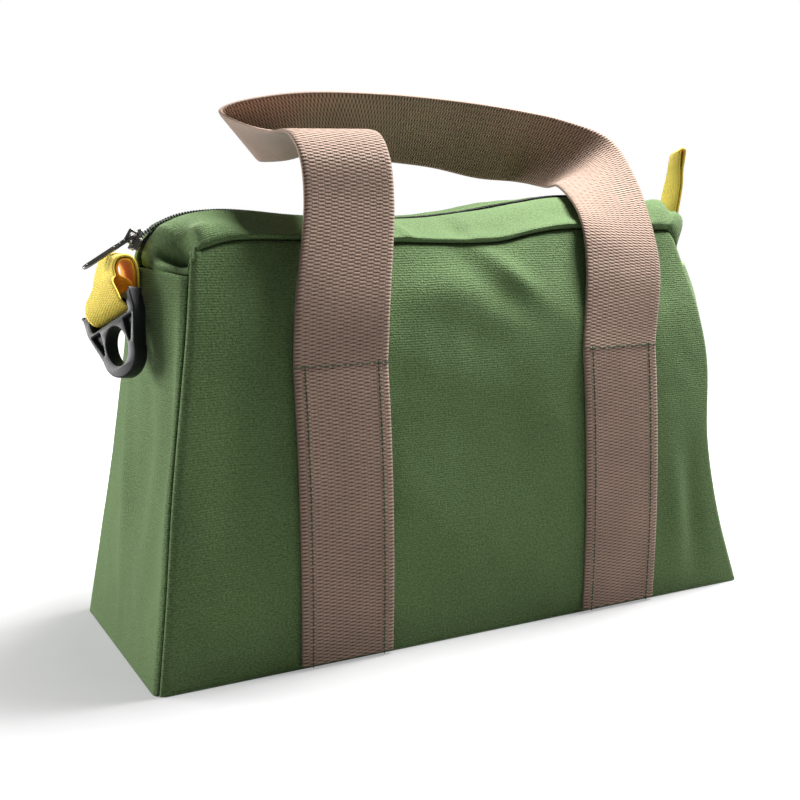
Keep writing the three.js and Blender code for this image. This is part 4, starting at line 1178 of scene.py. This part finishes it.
def plate(loops, thick, bevel):
    curve = bpy.data.curves.new("plate", "CURVE")
    curve.dimensions = "2D"
    curve.fill_mode = "BOTH"
    curve.extrude = (thick / 2 - bevel) * MM
    curve.bevel_depth = bevel * MM
    curve.bevel_resolution = 2
    curve.offset = -bevel * MM
    for loop in loops:
        spline = curve.splines.new("POLY")
        spline.points.add(len(loop) - 1)
        spline.points.foreach_set("co", np.array([(x * MM, y * MM, 0, 1) for x, y in loop]).ravel())
        spline.use_cyclic_u = True
    carrier = bpy.data.objects.new("plate", curve)
    scene.collection.objects.link(carrier)
    seen = carrier.evaluated_get(bpy.context.evaluated_depsgraph_get())
    mesh = bpy.data.meshes.new_from_object(seen)
    bpy.data.objects.remove(carrier)
    bpy.data.curves.remove(curve)
    return mesh


def hanging_frame(origin, hang, across):
    up = -unit(np.array(hang, float))
    x = unit(np.array(across, float) - np.dot(across, up) * up)
    return frame_matrix(origin, x, up, np.cross(x, up))


def frame_matrix(origin, x, y, z):
    made = Matrix.Identity(4)
    for k in range(3):
        made[k][0], made[k][1], made[k][2], made[k][3] = x[k], y[k], z[k], origin[k] * MM
    return made


def joined(name, meshes, placing, material):
    work = bmesh.new()
    for mesh, local in meshes:
        mesh.transform(placing @ local)
        work.from_mesh(mesh)
        bpy.data.meshes.remove(mesh)
    bmesh.ops.remove_doubles(work, verts=work.verts, dist=1e-6)
    bmesh.ops.recalc_face_normals(work, faces=work.faces)
    made = bpy.data.meshes.new(name)
    work.to_mesh(made)
    work.free()
    made.materials.clear()
    made.materials.append(material)
    made.polygons.foreach_set("material_index", np.zeros(len(made.polygons), np.int32))
    made.polygons.foreach_set("use_smooth", np.ones(len(made.polygons), bool))
    made.set_sharp_from_angle(angle=math.radians(40))
    piece = bpy.data.objects.new(name, made)
    scene.collection.objects.link(piece)
    print(name, len(made.polygons), "faces")
    return piece


# %% Ring
RING_TOP = 2.5
RING_HALF = 18
SLOT_LOW = -9
EYE_DROP = 21.5
RING_THICK = 7.6
POCKET_DEPTH = 2
ring_outline = (
    rounded([(-RING_HALF, RING_TOP), (-RING_HALF, SLOT_LOW), (-12, -25)], 2.2)[:10]
    + arc((0, -25), 12, 180, 360, 33)
    + rounded([(12, -25), (RING_HALF, SLOT_LOW), (RING_HALF, RING_TOP)], 2.2)[5:]
)
ring_slot = rounded([(-13.5, -2.5), (13.5, -2.5), (13.5, SLOT_LOW), (-13.5, SLOT_LOW)], 1.6)
ring_eye = arc((0, -EYE_DROP), 7, 0, 360, 41, 9.5)[:-1]
ring_loops = [ring_outline, ring_slot, ring_eye]
pocket_floors = []
for side in (-1, 1):
    pocket = [(side * 9, -11), (side * 15, -11), (side * 9.6, -22.5), (side * 9, -18.5)]
    ring_loops.append(rounded(pocket, 0.7))
    floor_loop = [(side * 8.4, -10.4), (side * 15.6, -10.4), (side * 10, -23.4), (side * 8.4, -19)]
    pocket_floors.append((plate([floor_loop], RING_THICK - 2 * POCKET_DEPTH, 0.05), Matrix.Identity(4)))
ring_body = plate(ring_loops, RING_THICK, 0.8)
RING_BAR = (0.45, -0.77, 0.45)
ring_place = hanging_frame(LEFT_TAB[-1, :3], (0.1, -0.46, -0.88), RING_BAR)
ring = joined("plastic_ring", [(ring_body, Matrix.Identity(4))] + pocket_floors, ring_place, PLASTIC_BLACK)
settle(ring, "ring", "plastic", "ring_left")

# %% Slider and pull
SLIDER_SHARE = 0.036
SLIDER_LIFT = 0.1
CHAIN_THICK = 1.6
PLATE_THICK = 1.4
slider_run = zip_tangent(SLIDER_SHARE)
slider_up = np.array([-slider_run[2], 0, slider_run[0]])
slider_side = np.cross(slider_up, slider_run)
slider_spot = zip_point(SLIDER_SHARE) + slider_up * SLIDER_LIFT
slider_place = frame_matrix(slider_spot, slider_side, slider_up, slider_run)
lie_flat = Matrix.Rotation(math.pi / 2, 4, "X")
body_loop = rounded([(-4.5, -5.5), (4.5, -5.5), (4.5, 1), (3.1, 5.5), (-3.1, 5.5), (-4.5, 1)], 1.0)
body_plate = plate([body_loop], PLATE_THICK, 0.4)
slider_parts = [(body_plate, Matrix.Translation((0, PLATE_THICK / 2 * MM, 0)) @ lie_flat)]
for side in (-1, 1):
    flange_loop = rounded([(side * 3.3, -5.2), (side * 4.5, -5.2), (side * 4.5, 0.8), (side * 3.3, 0.8)], 0.3)
    flange = plate([flange_loop], CHAIN_THICK + 0.3, 0.2)
    slider_parts.append((flange, Matrix.Translation((0, (0.15 - CHAIN_THICK / 2) * MM, 0)) @ lie_flat))
bail_loop = rounded([(-3.5, -0.4), (-3.5, 4.4), (3.5, 4.4), (3.5, -0.4)], 0.9)
bail_eye = rounded([(-2.2, 0.4), (2.2, 0.4), (2.2, 3.1), (-2.2, 3.1)], 0.6)
bail_turn = Matrix.Translation((0, PLATE_THICK * MM, 0)) @ Matrix.Rotation(math.pi / 2, 4, "Y")
slider_parts.append((plate([bail_loop, bail_eye], 2.2, 0.4), bail_turn))
slider = joined("metal_slider", slider_parts, slider_place, METAL_DARK)
settle(slider, "bag", "metal", "zip_slider")

pull_pivot = zip_point(SLIDER_SHARE) + slider_up * (SLIDER_LIFT + PLATE_THICK + 1.75)
pull_place = hanging_frame(pull_pivot, (-0.85, 0, -0.53), (0, -1, 0))
PULL_LOW = -24.5
pull_loop = (
    rounded([(-3, 0.75), (-3, -7.5), (-3.75, -10.5), (-3.75, -20)], 0.5)[:15]
    + arc((0, PULL_LOW), 3.75, 180, 360, 21)
    + rounded([(3.75, -20), (3.75, -10.5), (3, -7.5), (3, 0.75)], 0.5)[5:]
)
pull_eye = rounded([(-1.6, -0.75), (1.6, -0.75), (1.6, -6.25), (-1.6, -6.25)], 0.6)
pull_window = rounded([(-2.15, -9.5), (2.15, -9.5), (2.15, -25.5), (-2.15, -25.5)], 0.8)
pull_plate = plate([pull_loop, pull_eye, pull_window], 1.5, 0.4)
pull = joined("metal_pull", [(pull_plate, Matrix.Identity(4))], pull_place, METAL_DARK)
settle(pull, "pull", "metal", "zip_pull")

# %% [markdown]
# ## Stitches
#
# Each leg of a handle is sewn down along both edges and across its top. The thread is dark
# green, pulled into the webbing.

# %% Stitch lines
STITCH_INSET = 5.5


def leg_rows(path, last):
    middle, half, place = resample(*path, 1.0)
    side, face = unit(half), face_of(middle, half)
    lines = []
    for x_sign in (-1, 1):
        keep = (np.abs(middle[:, 0] - x_sign * STRAP_X) < 2) & (middle[:, 2] < STITCH_Z)
        lift = face[keep] * last
        for edge in (-1, 1):
            line = middle[keep] + side[keep] * edge * (HANDLE_WIDTH / 2 - STITCH_INSET)
            lines.append((line + lift * (HANDLE_THICK / 2 + 0.12), lift))
        top = np.argmax(np.where(keep, middle[:, 2], -1))
        spread = np.linspace(-1, 1, 40)[:, None] * (HANDLE_WIDTH / 2 - 1)
        cross = middle[top] + side[top] * spread + face[top] * last * (HANDLE_THICK / 2 + 0.15)
        lines.append((cross, face[top] * last))
    return lines


strap_lines = leg_rows(front_path, -1) + leg_rows(back_path, 1)
stitches = bead_piece("strap_stitches", strap_lines, THREAD_GREEN, 3.0, 2.7, 0.9, 0.7)
settle(stitches, "bag", "canvas")

# %% [markdown]

# %% [markdown]
# ## Stage and light
#
# The floor is a plain pale sheet. It glows white in the distance, to the camera only, so
# that the glow lights nothing. A broad light overhead makes the roof and the sloping leg of
# the handle bright, and a weaker one lights the left end.

# %% Floor
floor_material, floor_tree, floor_shader = new_material("floor_pale")
floor_place = add(floor_tree, "ShaderNodeTexCoord").outputs["Object"]
floor_mottle = use_group(floor_tree, MOTTLE, Place=floor_place, Broad=3.0, Fine=60.0)
floor_tone = remap(floor_tree, floor_mottle["Value"], 0.3, 0.7)
floor_colour = blend_colour(floor_tree, floor_tone, (0.4, 0.4, 0.4, 1), (0.43, 0.43, 0.43, 1))
floor_tree.links.new(floor_colour, floor_shader.inputs["Base Color"])
floor_shader.inputs["Roughness"].default_value = 0.9
floor_oval = add(floor_tree, "ShaderNodeVectorMath", {0: floor_place, 1: (1, 1.8, 1)}, operation="MULTIPLY")
floor_length = add(floor_tree, "ShaderNodeVectorMath", {0: floor_oval.outputs[0]}, operation="LENGTH")
floor_far = floor_length.outputs["Value"]
floor_seen = add(floor_tree, "ShaderNodeLightPath").outputs["Is Camera Ray"]
floor_white = calc(floor_tree, "MULTIPLY", remap(floor_tree, floor_far, 0.2, 0.6, 0.35, 1.0), floor_seen)
floor_tree.links.new(floor_white, floor_shader.inputs["Emission Strength"])
floor_shader.inputs["Emission Color"].default_value = (1, 1, 1, 1)
FLOOR = 4000
floor_points = [(-FLOOR, -FLOOR, -0.3), (FLOOR, -FLOOR, -0.3), (FLOOR, FLOOR, -0.3), (-FLOOR, FLOOR, -0.3)]
floor = new_piece("floor", floor_points, [(0, 1, 2, 3)], floor_material, smooth=False)


# %% Lights
def area_light(name, place, target, size, power):
    data = bpy.data.lights.new(name, "AREA")
    data.shape = "RECTANGLE"
    data.size, data.size_y = size
    data.energy = power
    made = bpy.data.objects.new(name, data)
    made.location = place
    made.rotation_euler = (Vector(target) - Vector(place)).to_track_quat("-Z", "Y").to_euler()
    scene.collection.objects.link(made)


area_light("overhead", (0.4, 0.05, 0.98), (0.03, 0, 0.2), (0.5, 0.32), 31)
area_light("left_side", (-0.85, 0.5, 0.2), (-0.16, 0, 0.12), (0.4, 0.4), 9)

world = bpy.data.worlds.new("studio")
world.use_nodes = True
world_tree = world.node_tree
world_tree.nodes.clear()
path = add(world_tree, "ShaderNodeLightPath")
strength = remap(world_tree, path.outputs["Is Camera Ray"], 0.0, 1.0, 0.13, 1.0)
sky = add(world_tree, "ShaderNodeBackground", {"Color": (1, 1, 1, 1), "Strength": strength})
world_end = add(world_tree, "ShaderNodeOutputWorld")
world_tree.links.new(sky.outputs[0], world_end.inputs["Surface"])
scene.world = world
scene.view_settings.view_transform = "Standard"
scene.view_settings.look = "None"
print("lights", len(bpy.data.lights))
